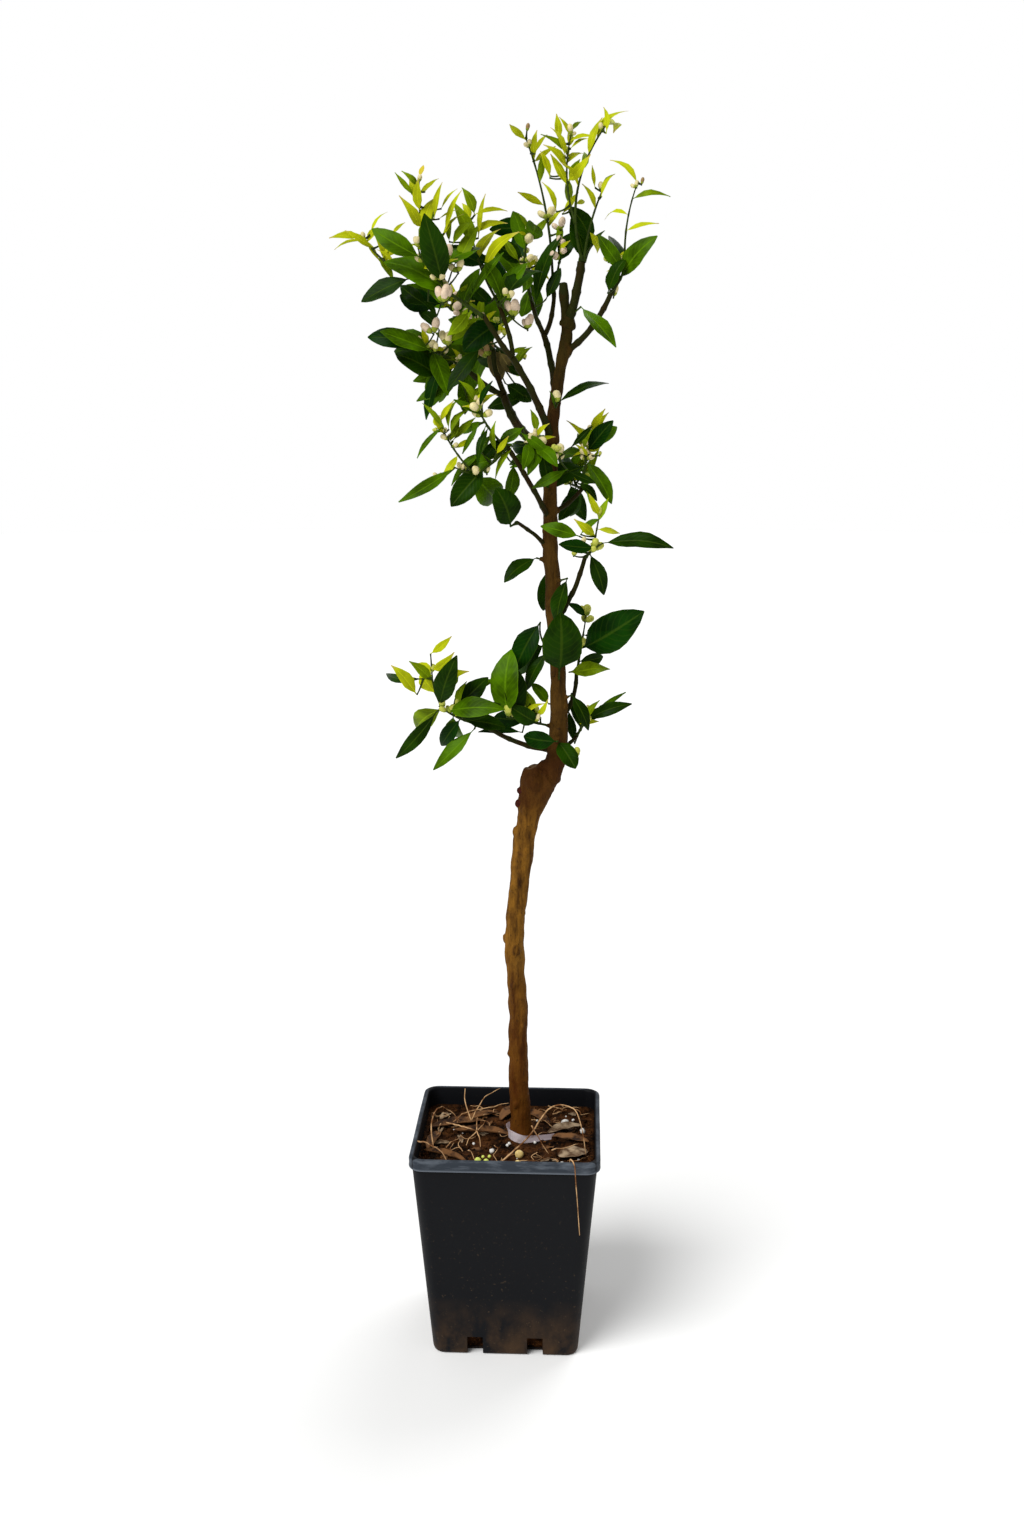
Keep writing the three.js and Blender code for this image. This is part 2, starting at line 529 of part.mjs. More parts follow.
// Rounded square outline: the place of one of its points, at a half width.
const OUTLINE_POINTS = 16;
function onRoundedSquare(angle, half, corner) {
  const index = Math.round((angle / (2 * Math.PI)) * OUTLINE_POINTS + OUTLINE_POINTS) % OUTLINE_POINTS;
  const perCorner = OUTLINE_POINTS / 4;
  const quarter = Math.floor(index / perCorner);
  const turn = (quarter + (index % perCorner) / (perCorner - 1)) * (Math.PI / 2);
  const middle = (quarter + 0.5) * (Math.PI / 2);
  const radius = Math.min(corner, half);
  const straight = (half - radius) * Math.SQRT2;
  return [
    straight * Math.cos(middle) + radius * Math.cos(turn),
    straight * Math.sin(middle) + radius * Math.sin(turn),
  ];
}

// A square-cornered turning: a profile of [half width, height] carried round the upright axis.
function squareTurning(profile) {
  const points = profile.map(([half, height]) => new THREE.Vector2(half, height));
  return solidFrom(warp(new THREE.LatheGeometry(points, OUTLINE_POINTS), (p) => {
    const half = Math.hypot(p.x, p.z);
    if (half < 1e-6) return vec(0, 0, p.y);
    const [x, y] = onRoundedSquare(Math.atan2(p.x, p.z), half, POT.corner);
    return vec(x, y, p.y);
  }));
}

function bodyHalfAt(height) {
  return lerp(POT.baseHalf, POT.bodyTopHalf, height / (POT.height - POT.rimBand));
}

// The two drain notches in the foot of each side, grown by a clearance.
function notchSolids(clearance) {
  const { across, tall, deep, outside, fromMiddle } = NOTCH;
  const solids = [];
  for (let side = 0; side < 4; side++) {
    for (const x of [-fromMiddle, fromMiddle]) {
      const inwards = deep + clearance;
      const upwards = tall + clearance;
      const box = new THREE.BoxGeometry(across + 2 * clearance, inwards + outside, upwards + outside);
      box.translate(x, -POT.baseHalf + (inwards - outside) / 2, (upwards - outside) / 2);
      box.rotateZ((side * Math.PI) / 2);
      solids.push(solidFrom(box));
    }
  }
  return solids;
}

function potSolid() {
  const bandFoot = POT.height - POT.rimBand;
  const shell = squareTurning([
    [0, 0],
    [POT.baseHalf - POT.footRound, 0],
    [POT.baseHalf, POT.footRound],
    [POT.bodyTopHalf, bandFoot],
    [POT.rimHalf - 1, bandFoot],
    [POT.rimHalf, bandFoot + POT.rimRound],
    [POT.rimHalf, POT.height - POT.rimRound],
    [POT.rimHalf - POT.rimRound, POT.height],
    [POT.rimInner + POT.rimRound, POT.height],
    [POT.rimInner, POT.height - POT.rimRound],
    [POT.bodyTopHalf - POT.wall, bandFoot],
    [bodyHalfAt(POT.floor) - POT.wall, POT.floor],
    [0, POT.floor],
  ]);
  return notchSolids(0).reduce((made, notch) => made.subtract(notch), shell);
}

function soilSolid() {
  const top = POT.height - SOIL_BELOW_RIM;
  const foot = POT.floor + GAP;
  const inset = POT.wall + GAP;
  const block = squareTurning([
    [0, foot],
    [bodyHalfAt(foot) - inset, foot],
    [bodyHalfAt(top - SOIL_MOUND.rise) - inset, top - SOIL_MOUND.rise],
    [SOIL_MOUND.shoulder[0], top - SOIL_MOUND.shoulder[1]],
    [SOIL_MOUND.top, top],
    [0, top],
  ]);
  return notchSolids(SOIL_NOTCH_GAP).reduce((made, notch) => made.subtract(notch), block);
}

// A pale strip that loops round the foot of the trunk, with its tail on the soil at the right.
function collarSolid() {
  const [, x, y] = TRUNK[0];
  const outer = COLLAR.inner + COLLAR.thick;
  const outline = new THREE.Shape();
  outline.absarc(0, 0, outer, COLLAR.from, COLLAR.to, false);
  const end = vec(Math.cos(COLLAR.to), Math.sin(COLLAR.to), 0);
  const tail = vec(-end.y, end.x, 0).multiplyScalar(COLLAR.tail);
  outline.lineTo(end.x * outer + tail.x, end.y * outer + tail.y);
  outline.lineTo(end.x * COLLAR.inner + tail.x, end.y * COLLAR.inner + tail.y);
  outline.lineTo(end.x * COLLAR.inner, end.y * COLLAR.inner);
  outline.absarc(0, 0, COLLAR.inner, COLLAR.to, COLLAR.from, true);
  outline.closePath();
  const settings = { depth: COLLAR.tall, bevelEnabled: false, curveSegments: 10 };
  const strip = new THREE.ExtrudeGeometry(outline, settings);
  strip.translate(x, y, POT.height - SOIL_BELOW_RIM + GAP);
  return solidFrom(strip);
}

function trunkSolid(path) {
  const [x, y, z] = STUMP.top;
  const closed = [[0, STUMP.profile[0][1]], ...STUMP.profile, [0, 0]];
  const profile = closed.map(([r, h]) => new THREE.Vector2(r, h));
  const stump = warp(new THREE.LatheGeometry(profile, TRUNK_SIDES), (p) =>
    vec(x + p.x + p.y * STUMP.lean, y + p.z, z + p.y));
  const ground = new THREE.BoxGeometry(POT.baseHalf, POT.baseHalf, POT.baseHalf);
  ground.translate(0, 0, POT.height - SOIL_BELOW_RIM + GAP - POT.baseHalf / 2);
  const whole = rodSolid(path, TRUNK_SIDES, TRUNK_STEPS).add(solidFrom(stump));
  return wholeBody(whole.subtract(solidFrom(ground)));
}

// The named solids of the whole object.
function buildSolids() {
  const wood = growWood();
  const solids = new Map();
  solids.set("pot", { solid: potSolid(), colour: "pot" });
  solids.set("soil", { solid: soilSolid(), colour: "soil" });
  solids.set("collar", { solid: collarSolid(), colour: "collar" });
  const trunk = wood.get("trunk");
  solids.set("trunk", { solid: trunkSolid(trunk.path), colour: "trunk" });
  const grownTrunk = rodSolid(trunk.path, TRUNK_SIDES, TRUNK_STEPS, GAP);
  // What already leaves each parent: whatever starts there next is cut clear of it.
  const atParent = new Map([["trunk", []]]);

  function cutClear(solid, row) {
    const neighbours = [...(atParent.get(row.on) ?? [])];
    if (row.on === "trunk") neighbours.unshift(grownTrunk);
    else neighbours.unshift(rodSolid(wood.get(row.on).path, LIMB_SIDES, LIMB_STEPS, GAP));
    return wholeBody(neighbours.reduce((made, other) => made.subtract(other), solid));
  }
  function remember(row, sides, steps) {
    if (!atParent.has(row.on)) atParent.set(row.on, []);
    atParent.get(row.on).push(rodSolid(wood.get(row.name).path, sides, steps, GAP));
  }

  for (const limb of LIMBS) {
    const bar = rodSolid(wood.get(limb.name).path, LIMB_SIDES, LIMB_STEPS);
    solids.set(limb.name, { solid: cutClear(bar, limb), colour: "limb" });
    remember(limb, LIMB_SIDES, LIMB_STEPS);
  }

  const placed = [];
  const masses = new Map();
  SPRAYS.forEach((spray, index) => {
    const stem = wood.get(spray.name);
    const grown = growSpray(spray, index, wood, placed);
    let solid = rodSolid(stem.path, TWIG_SIDES, stem.steps);
    for (const leaf of grown.leaves) solid = solid.add(leafSolid(leaf));
    for (const bud of grown.buds) solid = solid.add(budSolid(bud));
    if (masses.has(stem.mass)) {
      const mass = masses.get(stem.mass);
      mass.solid = mass.solid.add(solid);
    } else {
      masses.set(stem.mass, { row: spray, solid, colour: spray.young ? "young" : "leaf" });
    }
  });
  for (const [name, mass] of masses) {
    solids.set(name, { solid: cutClear(mass.solid, mass.row), colour: mass.colour });
    remember(mass.row, TWIG_SIDES, wood.get(name).steps);
  }
  return solids;
}

const FINISH = {
  pot: { roughness: 0.55, metalness: 0 },
  collar: { roughness: 0.6, metalness: 0 },
  leaf: { roughness: 0.4, metalness: 0 },
  young: { roughness: 0.45, metalness: 0 },
};

function assemble() {
  const tree = new THREE.Group();
  for (const [name, { solid, colour }] of buildSolids()) {
    const finish = FINISH[colour] ?? { roughness: 0.9, metalness: 0 };
    const material = new THREE.MeshStandardMaterial({ color: COLOURS[colour], flatShading: true, ...finish });
    const mesh = new THREE.Mesh(geometryFrom(solid), material);
    mesh.name = name;
    tree.add(mesh);
  }
  return tree;
}

export default assemble();
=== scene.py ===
"""A young grafted clementine tree in its square nursery pot.

Laid out as an add-on and run as a script. Each operator makes one piece, or a group of like pieces,
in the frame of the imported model. The growth tables and rules are in millimetres, as in the part's
source, and each mesh is made in metres.
"""
import math
import random
from functools import lru_cache

import bmesh
import bpy
import numpy as np
from bpy.props import FloatProperty, FloatVectorProperty, IntProperty, PointerProperty
from mathutils import Matrix, Vector, noise


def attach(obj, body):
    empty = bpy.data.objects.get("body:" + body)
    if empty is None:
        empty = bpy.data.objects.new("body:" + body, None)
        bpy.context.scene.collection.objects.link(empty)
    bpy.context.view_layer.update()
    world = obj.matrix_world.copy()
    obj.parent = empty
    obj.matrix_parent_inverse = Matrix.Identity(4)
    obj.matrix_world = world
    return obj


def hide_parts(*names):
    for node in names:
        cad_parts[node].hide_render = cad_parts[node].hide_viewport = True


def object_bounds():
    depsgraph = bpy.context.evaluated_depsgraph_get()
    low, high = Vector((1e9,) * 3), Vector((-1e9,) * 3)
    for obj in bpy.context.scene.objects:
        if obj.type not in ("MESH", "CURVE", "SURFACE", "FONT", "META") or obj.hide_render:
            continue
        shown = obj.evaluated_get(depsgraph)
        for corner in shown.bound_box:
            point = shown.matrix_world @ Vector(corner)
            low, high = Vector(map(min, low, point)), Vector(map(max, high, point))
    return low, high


bl_info = {
    "name": "Potted clementine tree",
    "version": (1, 0, 0),
    "blender": (4, 5, 0),
    "location": "View3D > Sidebar > Clementine",
    "description": "Makes the looks of a young grafted clementine tree in a square nursery pot",
    "category": "Object",
}

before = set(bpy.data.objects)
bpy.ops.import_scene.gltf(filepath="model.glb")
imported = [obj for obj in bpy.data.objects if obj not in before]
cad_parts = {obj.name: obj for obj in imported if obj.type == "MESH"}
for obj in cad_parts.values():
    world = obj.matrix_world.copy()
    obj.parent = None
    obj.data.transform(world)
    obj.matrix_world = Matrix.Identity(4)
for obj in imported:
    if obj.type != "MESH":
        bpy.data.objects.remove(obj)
CAD_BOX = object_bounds()
BODY = "root"
MM = 0.001

# The camera of the photograph, as fitted to it: its turns to the side and down in degrees, how far
# and how high it stands and how far it is moved to its right in millimetres, and its focal length
# and the photograph's middle in pixels
PHOTO = dict(azimuth=2.6, pitch=11.83, distance=1708, height=993, aside=4.1, focal=1653, middle=(512, 768))

# The trunk from just under the soil's face to its top: height, x, y, radius.
TRUNK = [
  (206, 15, 0, 15.6),
  (229, 14.5, 0, 12.4),
  (252, 13, 0, 11.1),
  (307, 11, -2, 10.7),
  (368, 11, -3, 10.4),
  (414, 8, -2, 9.8),
  (440, 7, -1, 10.7),
  (470, 8, 0, 9.9),
  (519, 13, 2, 10.6),
  (549, 16, 3, 10.9),
  (579, 21, 4, 11.7),
  (602, 29, 4, 12.4),
  (622, 41, 3, 11.6),
  (650, 51, 2, 10),
  (676, 53, 1, 9.3),
  (745, 52, -1, 8.6),
  (823, 46, -2, 8),
  (905, 43, -1, 7.3),
  (985, 45, 0, 6.6),
  (1030, 50, 1, 6.1),
  (1078, 58.5, 2, 5.8),
  (1100, 57, 4, 5),
  (1129, 55, 7, 4.2),
]

# The short stump of the rootstock beside the graft. Its profile lists the radius and the height
# from its top, upwards; lean is its slope to the right.
STUMP = dict(
    top=(28.4, 4.3, 634.6),
    lean=0.13,
    profile=((9.3, -61), (13.2, -34), (14.2, -16), (12.6, -3), (11.4, -0.6)),
)

def limb(name, on, reach, sag, radius, at=None):
    """A row of LIMBS."""
    return dict(name=name, on=on, reach=reach, sag=sag, radius=radius, at=at)


def spray(name, on, reach, length, leaves, buds=0, **more):
    """A row of SPRAYS."""
    return dict(name=name, on=on, reach=reach, length=length, leaves=leaves, buds=buds, **more)


# Each limb leaves a parent: the trunk at a height, or another limb at its tip. Its name and its
# parent's, its reach from root to tip, the sag that pushes its middle, its radius at root and tip.
LIMBS = [
    limb("leader", "trunk", (14, -8, 62), (2, -3, 0), (4.6, 4), at=1084),
    limb("right_bough", "trunk", (48, -18, 60), (4, 0, -5), (3.4, 2.4), at=1058),
    limb("centre_bough", "trunk", (-12, 30, 70), (3, 4, 0), (3.6, 3), at=1008),
    limb("centre_arm_left", "centre_bough", (-13, 22, 35), (-2, 0, 2), (2.6, 2)),
    limb("centre_arm_right", "centre_bough", (8, 8, 44), (3, 0, 0), (2.6, 2)),
    limb("front_bough", "trunk", (-39, -34, 84), (6, -4, -4), (4, 3), at=970),
    limb("front_arm_out", "front_bough", (-26, -14, 38), (0, -2, -2), (2.8, 2.2)),
    limb("front_arm_up", "front_bough", (-14, 4, 48), (2, 0, 0), (2.4, 1.9)),
    limb("left_bough", "trunk", (-50, 42, 60), (-6, 0, -5), (5.4, 4), at=957),
    limb("left_arm_out", "left_bough", (-35, -14, 25), (0, 0, -2), (3.2, 2.4)),
    limb("left_arm_up", "left_bough", (-12, 16, 45), (-3, 0, 0), (3, 2.2)),
    limb("side_bough", "trunk", (-42, -38, 76), (4, -4, -4), (3, 2.2), at=893),
    limb("side_twig", "trunk", (-34, -22, 30), (0, 0, 2), (2.3, 1.7), at=864),
    limb("right_mid_bough", "trunk", (31, -18, 68), (2, -2, -6), (3, 2.2), at=792),
    limb("right_side_bough", "trunk", (33, 16, 24), (0, 0, -4), (2.6, 2), at=902),
    limb("low_left_bough", "trunk", (-76, -24, 30), (0, 2, -7), (3, 2.2), at=656),
    limb("low_right_twig", "trunk", (20, 14, 12), (0, 0, -2), (2.2, 1.7), at=655),
    limb("right_low_bough", "trunk", (18, 18, 50), (5, 3, -5), (2.6, 2), at=690),
]

# Each spray has one stem with leaves on it. Its stem grows from a limb's tip, from the trunk at
# a height, or from an earlier spray at a fraction of that stem, which makes both one mass. A row
# gives its name and its parent's, its reach, the lengths of its first leaf and its last, and each
# leaf's direction seen from the front, from the stem's foot to its tip, in degrees from straight
# up. bow is how far the stem's middle swings to its right, and roll turns the blades from facing
# the front to facing up.
SPRAYS = [
    spray("front_left_spray", "front_arm_out", (-58, -20, 54), (74, 58), (-62, -10, 52, -54), bow=-5,
          buds=7),
    spray("top_left_shoot", "front_left_spray", (-14, 14, 92), (38, 18), (12, -14, 28, 2, -24, 34, -38, 10),
          at=0.75, bow=-5, young=True, wide=0.34, buds=2, last="gold"),
    spray("far_left_spray", "front_arm_out", (-74, 24, 38), (48, 52), (-58, -114), bow=4, buds=1),
    spray("far_left_shoot", "far_left_spray", (-48, 12, 40), (30, 30), (-14, 44, 142, -50, 18, -92), at=1,
          bow=-3, young=True, wide=0.28, buds=2),
    spray("light_left_spray", "front_arm_up", (-30, 8, 80), (58, 30), (30, 18, -22, 58, -18), bow=-5,
          young=True, wide=0.3, buds=3),
    spray("front_wide_leaf", "front_arm_up", (8, -24, 6), (42, 62), (-24, 33), wide=0.46, buds=3),
    spray("left_leaf_fan", "left_arm_out", (-50, -22, 26), (56, 50), (-158, -76, 150, -60, -72), bow=3,
          wide=0.44, buds=7),
    spray("left_under_spray", "left_leaf_fan", (-10, 20, 4), (52, 48), (-140, -70, -110), at=0.04, buds=4),
    spray("blossom_spray", "left_arm_up", (-52, -8, 46), (36, 58), (-70, -135, 20, -60, -84), bow=4, buds=9,
          bloom=True),
    spray("back_left_spray", "left_arm_up", (-20, 34, 30), (52, 44), (-100, 150, -40, 40, -10), bow=3,
          buds=5),
    spray("rear_left_spray", "left_arm_up", (2, 66, 26), (58, 50), (-150, -60, -118, 12, -28, -88), bow=-4,
          wide=0.42, buds=5),
    spray("rear_low_spray", "left_arm_out", (14, 58, 16), (54, 50), (-164, 96, -40, -92, 24), bow=-4,
          wide=0.44, buds=5, bloom=True),
    spray("centre_top_spray", "centre_arm_left", (-2, 6, 70), (36, 40), (165, -50, -14, 40, -76), bow=-7,
          wide=0.5, buds=8),
    spray("rear_top_spray", "centre_top_spray", (-12, 56, 22), (46, 50), (-172, -80, 152, -42, -12),
          at=0.08, bow=4, wide=0.42, buds=3),
    spray("dark_centre_leaf", "centre_top_spray", (5, -18, -10), (78, 78), (9,), at=0.04, wide=0.28,
          last="dark"),
    spray("centre_right_spray", "centre_arm_right", (8, -10, 42), (42, 34), (4, 30, -150), wide=0.56,
          buds=6, bloom=True),
    spray("top_shoot_one", "centre_arm_right", (-28, 16, 148), (34, 28), (22, -60, 5, 40, -46), bow=7,
          young=True, wide=0.26, buds=2),
    spray("leader_shoot", "leader", (19, 2, 70), (32, 20), (150, -20, 25), bow=-3, young=True, buds=2),
    spray("top_shoot_three", "leader", (23, -14, 126), (20, 50), (60, -25, 3, 12, 24, 38), bow=-17,
          young=True, buds=2),
    spray("top_shoot_two", "top_shoot_three", (-4, 22, 91), (36, 20),
          (-20, 40, 165, -32, 42, -14, -42, 12, 68, -18, 36), at=0.26, bow=-7, young=True, wide=0.3,
          buds=2),
    spray("leader_leaf", "leader_shoot", (7, 16, 14), (42, 40), (-24,), at=0.05, wide=0.55, last="dark"),
    spray("right_cluster", "right_bough", (12, -4, 28), (52, 24), (34, -10, -38, 50, 62), bow=3, wide=0.4,
          buds=5, bloom=True),
    spray("right_shoot", "right_cluster", (11, -8, 74), (32, 34), (60, -66, 80, -34), at=0.9, bow=-4,
          young=True, wide=0.2, buds=2),
    spray("fork_leaf", "trunk", (15, -12, 12), (66, 66), (130,), at=1092, wide=0.34),
    spray("stem_high_spray", "trunk", (4, -18, 9), (26, 62), (0, 57), at=1000, wide=0.2, roll=60, buds=2),
    spray("right_side_spray", "right_side_bough", (6, 2, 42), (52, 40), (-145, -112, 134, -74, 40, 50),
          wide=0.44, buds=6),
    spray("right_side_young", "right_side_spray", (3, 4, 12), (32, 30), (-35, 24), at=1, young=True,
          wide=0.3, buds=1),
    spray("right_rear_spray", "right_side_bough", (-16, 44, 4), (46, 42), (-176, -20, 160, 18), wide=0.42,
          buds=3),
    spray("right_mid_spray", "right_mid_bough", (9, -12, 10), (44, 40), (155, -75), wide=0.38, buds=7),
    spray("right_long_leaf", "right_mid_spray", (8, -3, 5), (76, 76), (79,), at=1, wide=0.3, roll=25),
    spray("right_mid_shoot", "right_mid_spray", (6, 8, 34), (28, 26), (-48, 84, 10, -20), at=0.8,
          young=True, wide=0.36, buds=1),
    spray("mid_left_leaf", "trunk", (-15, -8, 4), (42, 42), (-120,), at=853, wide=0.42),
    spray("front_hanging_leaf", "trunk", (16, -15, 6), (43, 43), (-156,), at=831, wide=0.46),
    spray("dark_hanging_leaf", "trunk", (-6, 15, 5), (46, 46), (-172,), at=838, wide=0.4),
    spray("low_left_pair", "trunk", (-18, 8, 34), (62, 60), (-132, -150), at=756, bow=-7, wide=0.46),
    spray("round_leaf", "trunk", (1, -17, 17), (64, 64), (8,), at=726, wide=0.7, roll=5),
    spray("right_low_spray", "right_low_bough", (4, -2, 24), (30, 92), (82, 50), wide=0.42, buds=1),
    spray("right_low_young", "right_low_spray", (5, 2, 34), (26, 24), (100, -44), at=1, wide=0.42, buds=4),
    spray("right_low_leaf", "trunk", (14, -8, 6), (36, 36), (146,), at=712, wide=0.42),
    spray("low_right_spray", "low_right_twig", (11, 5, 17), (38, 46), (-14, 55, 62), wide=0.3, buds=3),
    spray("low_front_spray", "trunk", (-54, -16, 14), (36, 66), (-50, -86, 2, -4), at=680, wide=0.5,
          buds=3),
    spray("low_round_pair", "trunk", (-1, -25, 4), (36, 36), (140, -90), at=668, wide=0.54),
    spray("low_left_cluster", "low_left_bough", (-45, -10, 22), (46, 66),
          (98, -140, 68, 180, 46, 72, -134, 14), bow=-3, buds=4),
    spray("low_left_young", "low_left_cluster", (-10, -10, 42), (40, 30), (-34, 56, -40, -56, 50), at=0.9,
          bow=-3, young=True, wide=0.4, buds=2),
    spray("low_left_blade", "low_left_young", (-9, -4, 0), (74, 74), (-92,), at=0.8, wide=0.13),
    spray("hanging_left_spray", "side_bough", (-27, -12, 38), (42, 30), (-145, -152, -112, -60, 22), bow=-3,
          wide=0.26, buds=4),
    spray("sprig_left", "side_bough", (-32, -16, -27), (36, 60), (-100, -140, 142), bow=-3, wide=0.5,
          buds=4),
    spray("sprig_left_blade", "sprig_left", (-18, -6, 8), (68, 68), (-116,), at=1, wide=0.2),
    spray("sprig_left_young", "sprig_left", (-36, 8, 52), (28, 24), (-130, 50, 20, -15, -34, 30), at=0.96,
          bow=-3, young=True, wide=0.3, buds=7),
    spray("stem_left_spray", "trunk", (-22, -24, 22), (38, 34), (-105, 168, -160, 118, -98, 172), at=948,
          bow=3, wide=0.42, buds=4),
    spray("stem_right_buds", "trunk", (8, -14, 10), (30, 30), (), at=946, wide=0.2, buds=5),
    spray("twig_leaf", "side_twig", (-6, -8, -3), (46, 46), (-10,), wide=0.68),
    spray("low_stub", "trunk", (24, -9, 4), (30, 30), (), at=645, buds=1),
]
STEM_RADIUS = (1.5, 0.8)
SHOOT_RADIUS = (1.2, 0.6)

# Leaves on finer twigs, beside those of the rule, as read from the photograph: the pixel of
# the leaf's foot and how far back it lies in millimetres, the same of its tip, how wide it is as a
# share of its length, and its green by its name in LEAF_TONES.
# The greens of these leaves and of those in LEAVES_NEAR_STEMS are partly their own and partly painted light
# and shade: a leaf that lies in shade has a darker green, a lit one a lighter green.
LEAVES_IN_DEPTH = (
    (418, 246, -45, 427, 203, -40, 0.36, "fresh"), (432, 351, -4, 386, 325, -20, 0.42, "mid"),
    (440, 377, 20, 399, 350, 10, 0.5, "dark"), (481, 346, 5, 446, 388, -10, 0.34, "dark"),
    (501, 323, -10, 464, 345, -25, 0.6, "blue"), (493, 263, 0, 443, 247, 10, 0.4, "dark"),
    (454, 268, -35, 477, 221, -25, 0.28, "fresh"), (505, 285, 60, 490, 250, 66, 0.5, "blue"),
    (428, 306, -10, 398, 282, -4, 0.4, "dark"), (449, 343, 0, 473, 318, -10, 0.42, "fresh"),
    (462, 326, 30, 474, 304, 30, 0.4, "fresh"), (440, 330, 30, 422, 308, 36, 0.5, "dark"),
    (455, 384, 20, 417, 396, 10, 0.36, "mid"), (527, 397, 60, 484, 403, 66, 0.36, "dark"),
    (505, 383, 60, 531, 400, 56, 0.5, "dark"), (470, 407, 50, 478, 386, 46, 0.8, "fresh"),
    (510, 352, 80, 527, 345, 84, 0.3, "fresh"), (512, 370, 80, 524, 376, 84, 0.4, "fresh"),
    (521, 433, -20, 548, 458, -26, 0.4, "dark"), (515, 443, -24, 478, 459, -34, 0.3, "mid"),
    (482, 452, -44, 447, 476, -52, 0.26, "mid"), (443, 427, -52, 413, 452, -60, 0.2, "mid"),
    (446, 430, -50, 430, 400, -50, 0.26, "fresh"), (449, 430, -50, 450, 398, -52, 0.28, "fresh"),
    (451, 434, -48, 464, 404, -44, 0.26, "fresh"), (453, 441, -46, 474, 414, -40, 0.26, "fresh"),
    (513, 464, -24, 510, 501, -30, 0.44, "mid"), (579, 536, -30, 544, 522, -36, 0.42, "mid"),
    (436, 712, -28, 394, 758, -36, 0.24, "dark"), (474, 729, -18, 430, 767, -26, 0.3, "mid"),
    (450, 692, -34, 453, 665, -36, 0.5, "fresh"), (417, 695, -36, 397, 664, -40, 0.45, "young"),
    (431, 654, -40, 450, 638, -44, 0.34, "young"), (559, 142, 6, 558, 112, 8, 0.3, "young"),
    (535, 162, 50, 537, 128, 52, 0.22, "young"), (550, 178, 4, 543, 150, 2, 0.26, "young"),
    (556, 212, 0, 548, 180, -2, 0.24, "young"), (562, 215, 2, 574, 190, 0, 0.28, "young"),
    (608, 294, -20, 619, 258, -26, 0.55, "dark", "right_cluster"),
    (395, 268, -24, 381, 248, -26, 0.24, "young"), (404, 262, -28, 410, 240, -30, 0.26, "young"),
    (384, 258, -20, 398, 236, -24, 0.2, "young"), (441, 240, -50, 455, 208, -46, 0.2, "young"),
    (445, 233, -50, 452, 185, -46, 0.2, "young"), (452, 245, -44, 470, 215, -40, 0.3, "fresh"),
    (478, 238, -24, 480, 192, -24, 0.14, "young"), (520, 262, 60, 505, 236, 62, 0.3, "fresh"),
    (527, 240, 60, 546, 212, 58, 0.28, "fresh"), (546, 300, 30, 560, 268, 30, 0.4, "dark"),
    (560, 262, 30, 572, 232, 34, 0.5, "dark"), (585, 262, 6, 575, 214, 0, 0.46, "dark"),
)
